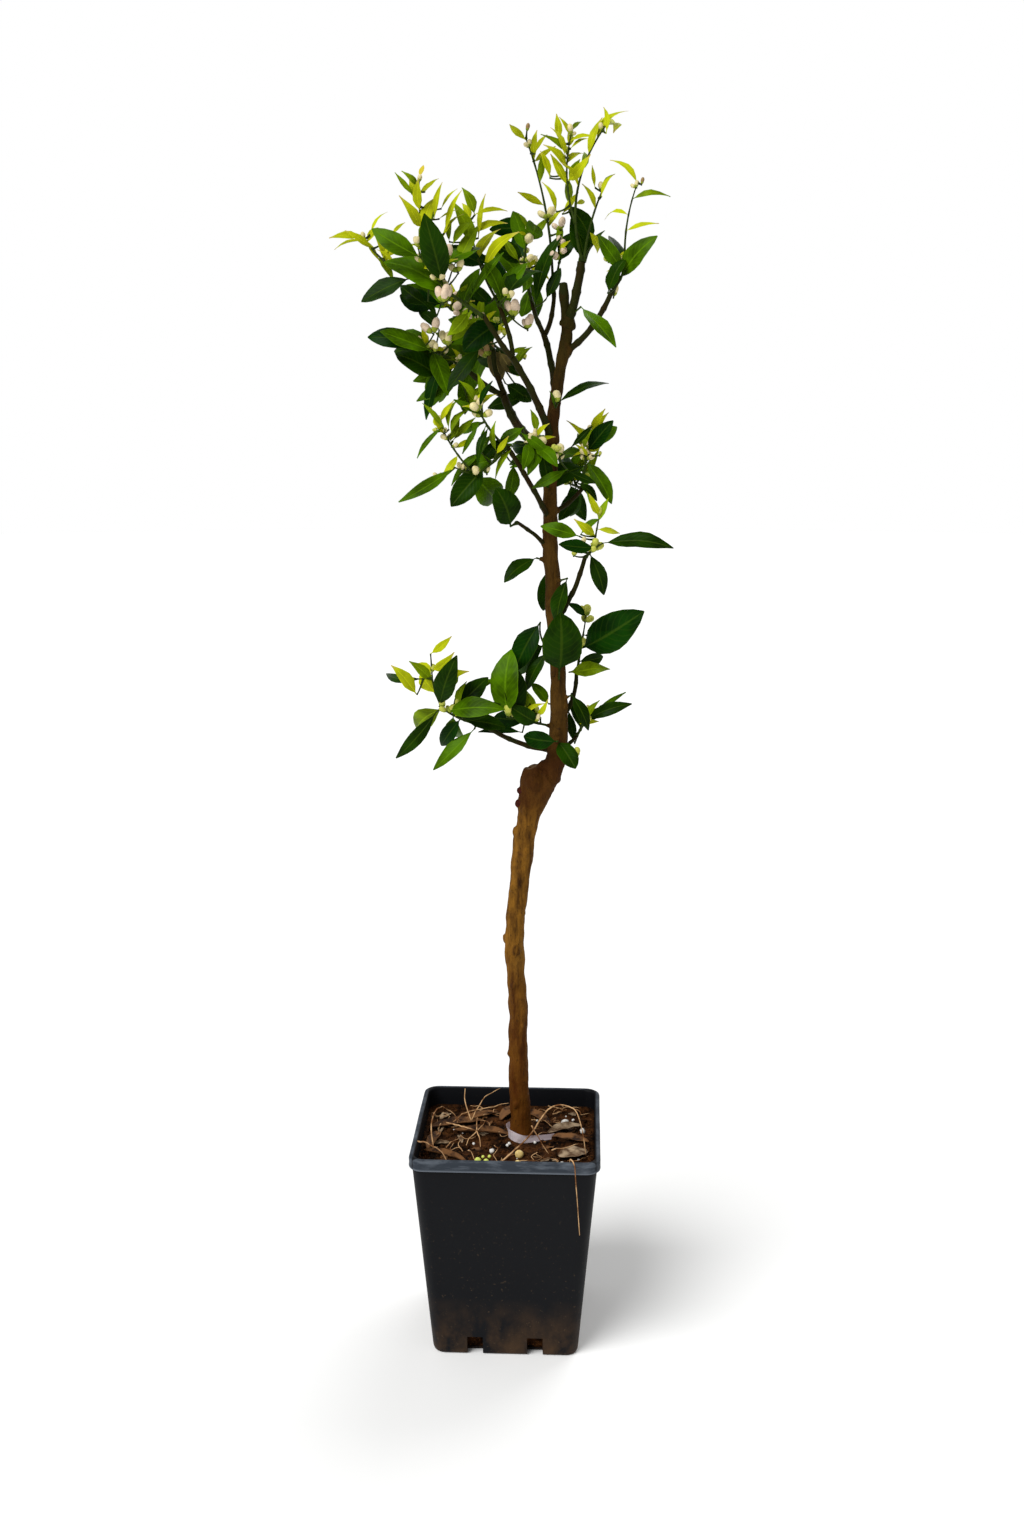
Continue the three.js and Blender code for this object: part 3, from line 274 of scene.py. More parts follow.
# More of them, which move back or forwards together with their foot to lie near a stem
LEAVES_NEAR_STEMS = (
    (471, 299, -18, 499, 250, -24, 0.26, "mid"), (497, 303, -15, 525, 262, -20, 0.42, "mid"),
    # The dark leaf whose foot is at pixel (488, 303) fills a mass of leaves in shade: its green is painted
    # shade
    (442, 362, -20, 423, 417, -30, 0.26, "blue"), (488, 303, 4, 472, 288, 8, 0.5, "dark"),
    (491, 347, 10, 500, 380, 4, 0.5, "dull"), (500, 352, 14, 514, 373, 10, 0.45, "dull"),
    (479, 424, -36, 461, 451, -40, 0.2, "mid"), (486, 425, -34, 478, 448, -36, 0.2, "mid"),
    (507, 437, -26, 477, 463, -32, 0.3, "dark"), (513, 446, -30, 489, 473, -38, 0.24, "fresh"),
    (524, 427, -22, 499, 441, -28, 0.5, "mid"), (521, 434, -26, 549, 455, -32, 0.32, "mid"),
    (545, 452, -14, 520, 458, -12, 0.4, "dark"), (547, 457, -28, 510, 465, -34, 0.26, "mid"),
    (567, 469, -34, 532, 486, -40, 0.3, "mid"), (568, 471, -28, 596, 481, -30, 0.3, "dark"),
    (570, 448, -20, 592, 426, -18, 0.22, "dark"), (589, 445, -34, 572, 419, -38, 0.2, "young"),
    (593, 437, -24, 604, 410, -24, 0.3, "young"), (579, 484, -22, 599, 498, -24, 0.4, "dark"),
    (579, 487, -26, 559, 520, -32, 0.42, "dark"), (581, 534, 8, 596, 517, 4, 0.45, "mid"),
    (597, 512, 12, 587, 492, 10, 0.3, "fresh"), (475, 215, -24, 507, 208, -24, 0.16, "young"),
    (578, 272, 4, 596, 224, 2, 0.24, "mid"), (569, 672, 12, 606, 660, 8, 0.5, "fresh"),
    (594, 714, 20, 626, 693, 18, 0.14, "mid"), (575, 744, 14, 570, 713, 14, 0.3, "dark"),
    (364, 240, 0, 333, 243, -4, 0.13, "young"), (370, 235, 0, 378, 208, 2, 0.22, "young"),
    (366, 240, 0, 380, 260, -3, 0.24, "young"), (391, 235, 0, 403, 219, 2, 0.24, "young"),
    (415, 197, -20, 400, 171, -24, 0.24, "fresh"), (425, 192, -20, 437, 176, -18, 0.22, "young"),
    (435, 220, -30, 437, 182, -28, 0.3, "young"), (441, 209, -30, 454, 185, -26, 0.18, "young"),
    (439, 218, -30, 456, 205, -28, 0.18, "young"), (475, 215, -10, 465, 186, -12, 0.42, "fresh"),
    (449, 242, -30, 449, 220, -32, 0.4, "fresh"), (535, 154, 30, 547, 135, 28, 0.22, "young"),
    (565, 158, 0, 559, 126, -2, 0.3, "young"), (551, 176, 10, 544, 151, 8, 0.24, "young"),
    (569, 183, 0, 580, 158, 2, 0.32, "fresh"), (571, 149, 0, 587, 132, 2, 0.22, "young"),
    (601, 197, -10, 611, 172, -10, 0.22, "young"), (595, 188, -10, 594, 165, -8, 0.22, "young"),
    (606, 135, -10, 604, 106, -8, 0.2, "young"), (468, 312, -20, 446, 334, -24, 0.5, "fresh"),
    (476, 318, -10, 470, 300, -12, 0.4, "fresh"), (437, 315, -10, 425, 300, -12, 0.35, "dark"),
    (519, 375, 30, 509, 366, 28, 0.6, "dark"), (517, 366, 34, 527, 344, 32, 0.5, "fresh"),
    (547, 652, 20, 522, 686, 14, 0.42, "dark"), (541, 717, 10, 514, 697, 6, 0.36, "dark"),
    (522, 733, 0, 480, 727, -4, 0.22, "blue"), (486, 266, 10, 446, 248, 6, 0.42, "blue"),
    (549, 704, 10, 536, 683, 8, 0.5, "mid"), (470, 690, -10, 492, 676, -12, 0.34, "mid"),
)

# Clusters of flower buds on finer twigs, read in the same way: the pixel of the twig's end, how far
# back it lies, how many buds there are, how large, and their tone. The last ones move as well.
BUDS_IN_DEPTH = (
    (443, 304, -70, 4, 1.5, "pink"), (434, 334, -8, 2, 1.3, "pink"), (447, 347, 0, 3, 1.25, "cream"),
    (435, 352, 0, 1, 1.0, "cream"), (514, 318, -30, 3, 1.35, "pink"), (528, 330, -20, 3, 1.2, "pink"),
    (548, 219, 40, 3, 1.15, "cream"), (560, 231, 34, 3, 1.15, "pink"), (446, 262, -58, 2, 1.3, "pink"),
    (458, 273, -52, 2, 1.1, "cream"), (418, 248, -66, 3, 0.9, "cream"), (627, 262, -20, 2, 1.0, "cream"),
    (609, 262, -20, 2, 0.8, "green"), (614, 297, -16, 1, 1.0, "cream"), (556, 452, -24, 6, 0.95, "green"),
    (570, 545, -36, 5, 0.6, "green"), (574, 556, -34, 4, 0.6, "green"), (583, 545, -36, 3, 0.8, "cream"),
    (588, 460, 14, 3, 0.9, "cream"), (583, 611, 16, 3, 0.85, "green"), (435, 432, -50, 4, 0.65, "green"),
    (462, 472, -50, 3, 0.8, "cream"), (487, 474, -46, 3, 0.8, "cream"), (488, 358, 60, 3, 1.4, "dry"),
    (455, 384, 40, 2, 1.2, "dry"), (497, 322, 30, 3, 0.8, "green"), (505, 336, 30, 2, 0.9, "green"),
    (449, 686, -36, 2, 0.75, "cream"), (537, 722, -10, 2, 0.85, "cream"), (590, 712, 18, 2, 0.7, "cream"),
    (525, 358, 80, 3, 0.6, "green"), (440, 478, -52, 2, 0.7, "cream"),
)
BUDS_NEAR_STEMS = (
    (527, 131, 36, 1, 0.7, "dry"), (642, 184, -22, 1, 0.7, "dry"), (600, 455, -26, 1, 0.8, "green"),
    (466, 470, -50, 1, 0.9, "green"),
)

# The rule that sets each leaf, as in the part's source
FIRST_PLACE = 0.4
LAST_PLACE = 0.985
LENGTH_JITTER = 0.08
TURN_JITTER = 5
TILT = 38
STEEPEST = 75
ROLL = 24
ROLL_JITTER = 26
ROLL_BEHIND = 45
WIDE = 0.38
WIDE_YOUNG = 0.25
WIDE_JITTER = 0.08
OUTWARDS = 0.2
FOLD = 0.22
BEND = 0.16
BEND_JITTER = 0.1
SUNK = 0.8
TURN_TRIES = (0, 24, -24, 48, -48, 70, -70)
DEPTH_TRIES = (0, -5, 5, -10, 10, 16, -16, 22)
GOLDEN_ANGLE = 137.508
SEED_FIRST = 1000
SEED_STEP = 77
FORK_OFFSET = 0.6
TEST_ALONG = (0.25, 0.4, 0.55, 0.7, 0.85, 1)
TEST_ACROSS = (-0.8, 0, 0.8)
TEST_FOOT = (0.08, 0.13, 0.19)
ROOM = dict(leaf=6.5, own_leaf=3, limb=4.5, stem=4.5, bud=7, foot=1.8, extra_bud=4.5)
FINE_ROOM = dict(leaf=2.2, own_leaf=2, limb=1.5, stem=0.8, foot=0.3)
BLADE = ((0, 0.06, 0.36, 0.68, 1), (0, 0.1, 0.96, 0.82, 0))
BUD = dict(every=3, radius=4.1, bloom_radius=6.5, length=13, widest=0.66, jitter=0.25, sunk=1.4,
           highest=0.94, step_back=0.13, lowest=0.3, tip_lean=12, lean=62)
# A cluster of buds: how far the first one and the others lean out, how much less to the front and
# back, their size, and how wide and how long the green and the other buds are
CLUSTER = dict(first=12, lean=(22, 62), flat=0.35, size=0.9, green=(1.15, 0.72), open=(0.86, 1.12))
# Finer twigs: one for every few leaves of a stem, and their sizes and those of their leaves
TWIG = dict(every=2, reach=(9, 17), leaf=(15, 27), wide=0.3, spread=70, apart=42, radius=(1.05, 0.7),
            sag=0.08)
# Where a stem is searched for what shows, how far that may move back and what each millimetre costs
SEARCH = dict(shares=np.round(np.linspace(0.1, 1, 19), 2), moves=range(-60, 90, 4), cost=0.35)
WORD = 0xFFFFFFFF


def vec(*parts):
    return np.array(parts, dtype=float)


def unit(direction):
    return direction / np.linalg.norm(direction)


def lerp(a, b, t):
    return a + (b - a) * t


def random_from(seed):
    """A repeatable stream of numbers from 0 to 1, the same as in the part's source."""
    state = seed

    def draw():
        nonlocal state
        state = (state + 0x6D2B79F5) & WORD
        mixed = ((state ^ (state >> 15)) * (state | 1)) & WORD
        mixed ^= (mixed + (mixed ^ (mixed >> 7)) * (mixed | 61)) & WORD
        return (mixed ^ (mixed >> 14)) / (WORD + 1)

    return draw


def with_ends(places):
    """The places, and one more before and behind them that steer the curve's ends."""
    return np.vstack([2 * places[0] - places[1], places, 2 * places[-1] - places[-2]])


def on_curve(places, step, w):
    """A place on the smooth curve through the places, at a share of one step."""
    p0, p1, p2, p3 = places[step:step + 4]
    slope_in = (p2 - p0) / 2
    slope_out = (p3 - p1) / 2
    square = -3 * p1 + 3 * p2 - 2 * slope_in - slope_out
    cube = 2 * p1 - 2 * p2 + slope_in + slope_out
    return p1 + slope_in * w + square * w * w + cube * w**3


class Bent:
    """The path of a limb or stem that runs from root by reach, with its middle pushed by sag."""

    def __init__(self, root, reach, sag, radius):
        self.root = root
        self.reach = reach
        self.sag = sag
        self.ends = radius

    def point(self, t):
        return self.root + self.reach * t + self.sag * (4 * t * (1 - t))

    def radius(self, t):
        return lerp(self.ends[0], self.ends[1], t)


class TrunkPath:
    """The trunk's smooth path through its stations."""

    def __init__(self):
        rows = np.array(TRUNK, dtype=float)
        self.heights = rows[:, 0]
        self.radii = rows[:, 3]
        self.places = with_ends(rows[:, [1, 2, 0]])
        self.last = len(rows) - 1

    def point(self, t):
        step = min(int(t * self.last), self.last - 1)
        return on_curve(self.places, step, t * self.last - step)

    def radius(self, t):
        return float(np.interp(t * self.last, np.arange(self.last + 1), self.radii))

    def place_at(self, height):
        return float(np.interp(height, self.heights, np.arange(self.last + 1))) / self.last


class Wood:
    """One limb or stem: its path, where it is tested, and the mass that a stem belongs to."""

    def __init__(self, name, path, samples, mass=None):
        self.name = name
        self.path = path
        self.mass = mass
        steps = np.linspace(0, 1, samples + 1)
        self.cores = np.array([path.point(t) for t in steps])
        self.radii = np.array([path.radius(t) for t in steps])


def root_on(parent, at, reach):
    """Where a limb or stem starts on its parent, as in the part's source."""
    if parent.name == "trunk":
        return parent.path.point(parent.path.place_at(at))
    if parent.mass:
        return parent.path.point(at)
    tip = parent.path.point(1)
    along = unit(tip - parent.path.point(0.95))
    sideways = unit(reach - along * np.dot(reach, along))
    return tip + sideways * FORK_OFFSET * parent.path.radius(1)


def grow_wood(sprays):
    """The trunk, limbs and stems, by name."""
    wood = {"trunk": Wood("trunk", TrunkPath(), 90)}
    for row in LIMBS:
        reach = vec(*row["reach"])
        root = root_on(wood[row["on"]], row.get("at"), reach)
        path = Bent(root, reach, vec(*row["sag"]), row["radius"])
        wood[row["name"]] = Wood(row["name"], path, 14)
    for row in sprays:
        add_stem(wood, row)
    return wood


def add_stem(wood, row):
    reach = vec(*row["reach"])
    parent = wood[row["on"]]
    root = root_on(parent, row.get("at"), reach)
    bow = unit(vec(reach[2], 0, -reach[0])) * row.get("bow", 0)
    radius = SHOOT_RADIUS if parent.mass else STEM_RADIUS
    path = Bent(root, reach, bow, radius)
    row["mass"] = parent.mass or row["name"]
    wood[row["name"]] = Wood(row["name"], path, 12, row["mass"])


class Leaf:
    """One leaf: its root, its own directions and its sizes."""

    def __init__(self, root, turn, tilt, roll, size, row):
        self.root = root
        self.length, self.half, self.bend = size
        self.row = row
        self.along = vec(math.sin(turn) * math.cos(tilt), math.sin(tilt), math.cos(turn) * math.cos(tilt))
        front = unit(vec(0, -1, 0) + self.along * self.along[1])
        upper = np.cross(self.along, front)
        if upper[2] + OUTWARDS * upper[0] * np.sign(root[0]) < 0:
            upper = -upper
        self.face = front * math.cos(roll) + upper * math.sin(roll)
        self.across = np.cross(self.along, self.face)

    def points(self, s, w, out):
        """Places along (0 to 1), across (-1 to 1) and out of the blade (in millimetres)."""
        s, w, out = np.broadcast_arrays(np.asarray(s, float), w, out)
        lift = out + FOLD * np.abs(w) * self.half - self.bend * s * s * self.length
        return (self.root + s[:, None] * self.length * self.along
                + w[:, None] * self.half * self.across + lift[:, None] * self.face)

    def grid(self, places):
        s = np.repeat(places, len(TEST_ACROSS))
        w = np.tile(TEST_ACROSS, len(places)) * np.interp(s, *BLADE)
        return self.points(s, w, 0)


class Bud:
    """One bud on its short stalk."""

    def __init__(self, root, along, radius, length, row):
        self.root = root
        self.along = along
        self.radius = radius
        self.length = length
        self.row = row
        side = vec(0, 0, 1) if abs(along[1]) > 0.8 else vec(0, 1, 0)
        self.across = unit(side - along * np.dot(side, along))
        self.third = np.cross(self.across, along)


def nearest(points, others):
    """The shortest distance from one set of points to another."""
    if not len(points) or not len(others):
        return math.inf
    gaps = points[:, None, :] - others[None, :, :]
    return math.sqrt((gaps**2).sum(2).min())


class Crown:
    """What already stands in the crown, and whether a new leaf or bud has room in it."""

    def __init__(self, wood):
        self.wood = wood
        self.placed = []

    def room_in_wood(self, points, mass, foot, rooms=ROOM):
        for part in self.wood.values():
            if part.mass == mass:
                continue
            room = rooms["stem"] if part.mass else rooms["limb"]
            gaps = ((points[:, None, :] - part.cores[None, :, :])**2).sum(2).min(0)
            if (gaps < (part.radii + room)**2).any():
                return False
            if len(foot):
                gaps = ((foot[:, None, :] - part.cores[None, :, :])**2).sum(2).min(0)
                if (gaps < (part.radii + rooms["foot"])**2).any():
                    return False
        return True

    def room_among_leaves(self, points, mass, own=ROOM["own_leaf"], other=ROOM["leaf"]):
        for name, places in self.placed:
            if nearest(points, places) < (own if name == mass else other):
                return False
        return True

    def take(self, mass, points):
        self.placed.append((mass, points))

    def seat(self, leaf, mass, order, rooms=ROOM):
        """Takes the room of a leaf where it has room, and says whether it has."""
        points = leaf.grid(TEST_ALONG)
        clear = self.room_in_wood(points, mass, leaf.grid(TEST_FOOT), rooms)
        if clear and self.room_among_leaves(points, mass, rooms["own_leaf"], rooms["leaf"]):
            self.take(mass, points)
            leaf.order = order
            return True
        return False


def grow_leaves(row, index, crown, rooms=ROOM):
    """The leaves of one spray and its random numbers, by the source's seeded rule."""
    stem = crown.wood[row["name"]]
    draw = random_from(SEED_FIRST + SEED_STEP * index)

    def jitter(size):
        return size * (2 * draw() - 1)

    count = len(row["leaves"])
    leaves = []
    for i, direction in enumerate(row["leaves"]):
        share = i / (count - 1) if count > 1 else 1
        root = stem.path.point(lerp(FIRST_PLACE, LAST_PLACE, share))
        length = lerp(*row["length"], share) * (1 + jitter(LENGTH_JITTER))
        turn = direction + jitter(TURN_JITTER)
        lean = math.sin(math.radians(GOLDEN_ANGLE * (i + 1) + 40 * index)) * TILT
        rolled = row.get("roll", ROLL) + jitter(ROLL_JITTER)
        roll = 180 - rolled if root[1] > ROLL_BEHIND else rolled
        wide = row.get("wide", WIDE_YOUNG if row.get("young") else WIDE) * (1 + jitter(WIDE_JITTER))
        size = (length, wide * length / 2, BEND + jitter(BEND_JITTER))
        for extra in TURN_TRIES:
            tilt = max(-STEEPEST, min(STEEPEST, lean + extra))
            angles = (math.radians(turn), math.radians(tilt), math.radians(roll))
            leaf = Leaf(root, *angles, size, row)
            if crown.seat(leaf, stem.mass, i, rooms):
                leaves.append(leaf)
                break
    return leaves, jitter


def bud_at(row, index, i, stem, scale):
    t = max(BUD["lowest"], BUD["highest"] - BUD["step_back"] * (i // 2))
    around = math.radians(GOLDEN_ANGLE * i + 50 * index)
    lean = math.radians(BUD["tip_lean"] if i == 0 else BUD["lean"])
    along = vec(math.sin(lean) * math.cos(around), math.sin(lean) * math.sin(around), math.cos(lean))
    radius = (BUD["bloom_radius"] if row.get("bloom") and i % 4 else BUD["radius"]) * scale
    root = stem.path.point(t) - along * BUD["sunk"]
    return Bud(root, along, radius, BUD["length"] * scale, row)


def take_bud(bud, stem, crown, own, other):
    """True where a bud has room, which is then taken."""
    middle = (bud.root + bud.along * BUD["widest"] * bud.length)[None, :]
    clear = crown.room_among_leaves(middle, stem.mass, own, other)
    if clear and crown.room_in_wood(middle, stem.mass, ()):
        crown.take(stem.mass, middle)
        return True
    return False


def grow_buds(row, index, crown, jitter):
    """The buds that the source has too: every third one."""
    stem = crown.wood[row["name"]]
    numbers = range(0, row["buds"], BUD["every"])
    made = [bud_at(row, index, i, stem, 1 + jitter(BUD["jitter"])) for i in numbers]
    return [bud for bud in made if take_bud(bud, stem, crown, 0, ROOM["bud"])]


def grow_more_buds(row, index, crown):
    """The buds between those, where they have room."""
    stem = crown.wood[row["name"]]
    chance = random.Random(SEED_FIRST + index)
    numbers = [i for i in range(row["buds"]) if i % BUD["every"]]
    made = [bud_at(row, index, i, stem, chance.uniform(0.7, 1.15)) for i in numbers]
    return [bud for bud in made if take_bud(bud, stem, crown, ROOM["extra_bud"], ROOM["extra_bud"])]


def finer_twig(crown, on, at, foot, tone, deeper=0):
    """A finer twig that runs from its parent stem to its foot, and what is known of its parts."""
    parent = crown.wood[on]
    reach = vec(*foot) + vec(0, deeper, 0)
    sag = vec(0, 0, -TWIG["sag"] * np.linalg.norm(reach))
    path = Bent(parent.path.point(at), reach, sag, TWIG["radius"])
    row = dict(name=f"{on}_finer_{len(crown.wood)}", mass=parent.mass, tone=tone)
    return path, row


def seen_at(across, down, back):
    """The place that shows at a pixel of the photograph and lies that far back."""
    side = math.radians(PHOTO["azimuth"])
    dip = math.radians(PHOTO["pitch"])
    right = vec(math.cos(side), math.sin(side), 0)
    level = vec(-math.sin(side), math.cos(side), 0)
    upright = vec(0, 0, 1)
    over = level * math.sin(dip) + upright * math.cos(dip)
    middle = PHOTO["middle"]
    ray = level * math.cos(dip) - upright * math.sin(dip)
    ray += (right * (across - middle[0]) + over * (middle[1] - down)) / PHOTO["focal"]
    eye = right * PHOTO["aside"] + upright * PHOTO["height"] - level * PHOTO["distance"]
    return eye + ray * (back + PHOTO["distance"]) / np.dot(ray, level)


class StemFinder:
    """Finds the stem that carries what shows in the photograph."""

    def __init__(self, wood):
        names = [row["name"] for row in SPRAYS]
        self.lines = {n: np.array([wood[n].path.point(s) for s in SEARCH["shares"]]) for n in names}
        self.points = np.vstack(list(self.lines.values()))

    def nearest(self, place, names=()):
        """How far the nearest stem is, its name, and the share of it and the place that are nearest."""
        best = (math.inf,)
        for name in names or self.lines:
            gaps = np.linalg.norm(self.lines[name] - place, axis=1)
            i = int(gaps.argmin())
            if gaps[i] < best[0]:
                best = (gaps[i], name, SEARCH["shares"][i], self.lines[name][i])
        return best

    def move_to_stem(self, across, down, back):
        """How much further back something has to lie to be near a stem."""
        def cost(move):
            gaps = np.linalg.norm(self.points - seen_at(across, down, back + move), axis=1)
            return gaps.min() + SEARCH["cost"] * abs(move)

        return min(SEARCH["moves"], key=cost)

    def read(self, sure, moved):
        """For each row read from the photograph: its stem, the share of that, the row's foot seen
        from there, the foot itself, how far it moved back, and what else the row holds."""
        for moves, rows in ((False, sure), (True, moved)):
            for across, down, back, *rest in rows:
                move = self.move_to_stem(across, down, back) if moves else 0
                foot = seen_at(across, down, back + move)
                names = [part for part in rest if part in self.lines]
                gap, on, share, base = self.nearest(foot, names)
                yield on, share, np.rint(foot - base), foot, move, rest


def grow_finer_leaves(crown):
    """The leaves read from the photograph: each gets its twig, a little nearer or deeper, where it
    has room."""
    leaves = []
    read = StemFinder(crown.wood).read(LEAVES_IN_DEPTH, LEAVES_NEAR_STEMS)
    for index, (on, at, twig, foot, move, rest) in enumerate(read):
        across, down, back, wide, tone = rest[:5]
        tip = np.rint(seen_at(across, down, back + move) - foot)
        chance = random.Random(SEED_FIRST + 7 * index)
        length = np.linalg.norm(tip)
        roll = math.radians(ROLL + chance.uniform(-ROLL_JITTER, ROLL_JITTER))
        size = (length, wide * length / 2, BEND + chance.uniform(-BEND_JITTER, BEND_JITTER))
        for deeper in DEPTH_TRIES:
            path, row = finer_twig(crown, on, at, twig, tone, deeper)
            turn, tilt = math.atan2(tip[0], tip[2]), math.asin(tip[1] / length)
            leaf = Leaf(path.point(1), turn, tilt, roll, size, row)
            if inside_reach(leaf.grid(TEST_ALONG)) and crown.seat(leaf, row["mass"], index, FINE_ROOM):
                leaves.append(leaf)
                crown.wood[row["name"]] = Wood(row["name"], path, 4, row["mass"])
                break
    return leaves


def grow_clusters(crown):
    """The clusters read from the photograph, each a fan of plump buds round the end of a twig."""
    buds = []
    read = StemFinder(crown.wood).read(BUDS_IN_DEPTH, BUDS_NEAR_STEMS)
    for index, (on, at, twig, foot, move, rest) in enumerate(read):
        count, size, tone = rest
        path, row = finer_twig(crown, on, at, twig, tone)
        chance = random.Random(SEED_FIRST + 7 * index)
        plump, short = CLUSTER["green"] if tone == "green" else CLUSTER["open"]
        for i in range(count):
            around = math.radians(GOLDEN_ANGLE * i + chance.uniform(-20, 20))
            lean = math.radians(CLUSTER["first"] if i == 0 else chance.uniform(*CLUSTER["lean"]))
            along = unit(vec(math.sin(lean) * math.cos(around),
                             CLUSTER["flat"] * math.sin(lean) * math.sin(around), math.cos(lean)))
            scale = size * CLUSTER["size"] * chance.uniform(0.8, 1.15)
            root = path.point(1) - along * (BUD["sunk"] - 1.2 * i / count)
            buds.append(Bud(root, along, BUD["radius"] * scale * plump, BUD["length"] * scale * short, row))
        crown.wood[row["name"]] = Wood(row["name"], path, 4, row["mass"])
    return buds


def finer_rows():
    """Rows for the finer twigs that grow on from the stems, each inside its own mass."""
    rows = []
    for index, row in enumerate(SPRAYS):
        if row.get("young") or len(row["leaves"]) < 3:
            continue
        chance = random.Random(SEED_STEP + index)
        for i in range(len(row["leaves"]) // TWIG["every"]):
            away = chance.uniform(0, 2 * math.pi)
            reach = chance.uniform(*TWIG["reach"])
            turn = chance.uniform(-TWIG["spread"], TWIG["spread"])
            side = math.sin(math.radians(turn))
            rise = math.cos(math.radians(turn))
            flat = vec(math.cos(away), math.sin(away), 0) * abs(side)
            rows.append(dict(
                name=f"{row['name']}_twig_{i}",
                on=row["name"],
                at=chance.uniform(0.35, 0.9),
                reach=(flat[0] * reach, flat[1] * reach, rise * reach),
                length=TWIG["leaf"],
                wide=TWIG["wide"],
                leaves=(turn - TWIG["apart"], turn + TWIG["apart"], turn),
                buds=2,
                fresh=True,
                bloom=row.get("bloom", False),
            ))
    return rows


def inside_reach(points):
    """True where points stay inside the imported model's box."""
    low = np.array(CAD_BOX[0]) / MM
    high = np.array(CAD_BOX[1]) / MM
    return (points > low).all() and (points < high).all()


@lru_cache(maxsize=None)
def grown_tree():
    """Wood, leaves and buds of the whole tree."""
    wood = grow_wood(SPRAYS)
    crown = Crown(wood)
    leaves = []
    buds = []
    for index, row in enumerate(SPRAYS):
        made, jitter = grow_leaves(row, index, crown)
        leaves += made
        buds += grow_buds(row, index, crown, jitter)
    leaves += grow_finer_leaves(crown)
    buds += grow_clusters(crown)
    for index, row in enumerate(SPRAYS):
        buds += grow_more_buds(row, index, crown)
    for index, row in enumerate(finer_rows()):
        before = len(crown.placed)
        add_stem(wood, row)
        stem = wood[row["name"]]
        others = [part.cores for part in wood.values() if part.mass != stem.mass]
        if nearest(stem.cores, np.vstack(others)) < ROOM["stem"]:
            del wood[row["name"]]
            continue
        made, jitter = grow_leaves(row, len(SPRAYS) + index, crown, FINE_ROOM)
        if not made or not all(inside_reach(leaf.grid(TEST_ALONG)) for leaf in made):
            del crown.placed[before:]
            del wood[row["name"]]
            continue
        leaves += made
        buds += grow_buds(row, len(SPRAYS) + index, crown, jitter)
    return wood, leaves, buds


def srgb(red, green, blue):
    """A colour as the eye names it, from 0 to 255, as Blender's linear numbers."""
    parts = (red / 255, green / 255, blue / 255)
    return tuple(p / 12.92 if p < 0.04045 else ((p + 0.055) / 1.055)**2.4 for p in parts)


class Finish:
    """A material being made: its shader and short ways to add nodes to it."""

    def __init__(self, name, **values):
        self.material = bpy.data.materials.new(name)
        self.material.use_nodes = True
        self.tree = self.material.node_tree
        self.shader = self.tree.nodes["Principled BSDF"]
        self.feed(self.shader, values)

    def feed(self, node, values):
        for name, value in values.items():
            socket = node.inputs[name if isinstance(name, int) else name.replace("_", " ")]
            if isinstance(value, bpy.types.NodeSocket):
                self.tree.links.new(value, socket)
            elif socket.type == "RGBA":
                socket.default_value = (*value, 1)
            else:
                socket.default_value = value

    def add(self, kind, values=None, **settings):
        node = self.tree.nodes.new("ShaderNode" + kind)
        for name, value in settings.items():
            setattr(node, name, value)
        self.feed(node, values or {})
        return node

    def spot(self, stretch=(1, 1, 1)):
        """Object coordinates, stretched."""
        source = self.add("TexCoord").outputs["Object"]
        return self.add("Mapping", {"Vector": source, "Scale": stretch}).outputs["Vector"]

    def height(self):
        """The height above the pot's foot, in metres."""
        source = self.add("TexCoord").outputs["Object"]
        return self.add("SeparateXYZ", {"Vector": source}).outputs["Z"]

    def noise(self, scale, stretch=(1, 1, 1), detail=4.0, roughness=0.6):
        values = {"Vector": self.spot(stretch), "Scale": scale, "Detail": detail, "Roughness": roughness}
        return self.add("TexNoise", values).outputs[0]

    def cells(self, scale, stretch=(1, 1, 1), feature="F1"):
        values = {"Vector": self.spot(stretch), "Scale": scale}
        return self.add("TexVoronoi", values, feature=feature).outputs["Distance"]

    def fade(self, value, low, high, start=0.0, end=1.0):
        """A number that runs from start to end while value runs from low to high."""
        values = {"Value": value, "From_Min": low, "From_Max": high, "To_Min": start, "To_Max": end}
        return self.add("MapRange", values).outputs["Result"]

    def maths(self, operation, first, second=0.0):
        return self.add("Math", {0: first, 1: second}, operation=operation).outputs[0]

    def blend(self, share, first, second):
        """A colour between two others."""
        node = self.add("Mix", data_type="RGBA")
        self.feed(node, {0: share, 6: first, 7: second})
        return node.outputs[2]

    def relief(self, height, depth, strength=1.0):
        """Bump of that depth, in metres, on the shader."""
        values = {"Height": height, "Distance": depth, "Strength": strength}
        self.feed(self.shader, {"Normal": self.add("Bump", values).outputs["Normal"]})

    def times(self, first, second):
        return self.maths("MULTIPLY", first, second)

    def colour(self, value):
        """Sets the colour, which others may be laid over."""
        self.base = value
        self.feed(self.shader, {"Base_Color": value})

    def over(self, share, colour):
        """Lays a colour over the one before."""
        self.colour(self.blend(share, self.base, colour))


def mesh_from(name, bm):
    mesh = bpy.data.meshes.new(name)
    bm.to_mesh(mesh)
    bm.free()
    return mesh


def piece_from(name, bm, finishes, nodes=(), sharp=None):
    """Finishes a bmesh as one piece of the tree, smooth except at edges over the sharp angle."""
    return piece_of(name, mesh_from(name, bm), finishes, nodes, sharp)


def piece_of(name, mesh, finishes, nodes=(), sharp=None):
    mesh.materials.clear()
    for finish in finishes:
        mesh.materials.append(finish)
    mesh.polygons.foreach_set("use_smooth", [True] * len(mesh.polygons))
    if sharp is not None:
        mesh.set_sharp_from_angle(angle=math.radians(sharp))
    piece = bpy.data.objects.new(name, mesh)
    bpy.context.scene.collection.objects.link(piece)
    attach(piece, BODY)
    if nodes:
        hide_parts(*nodes)
    return piece


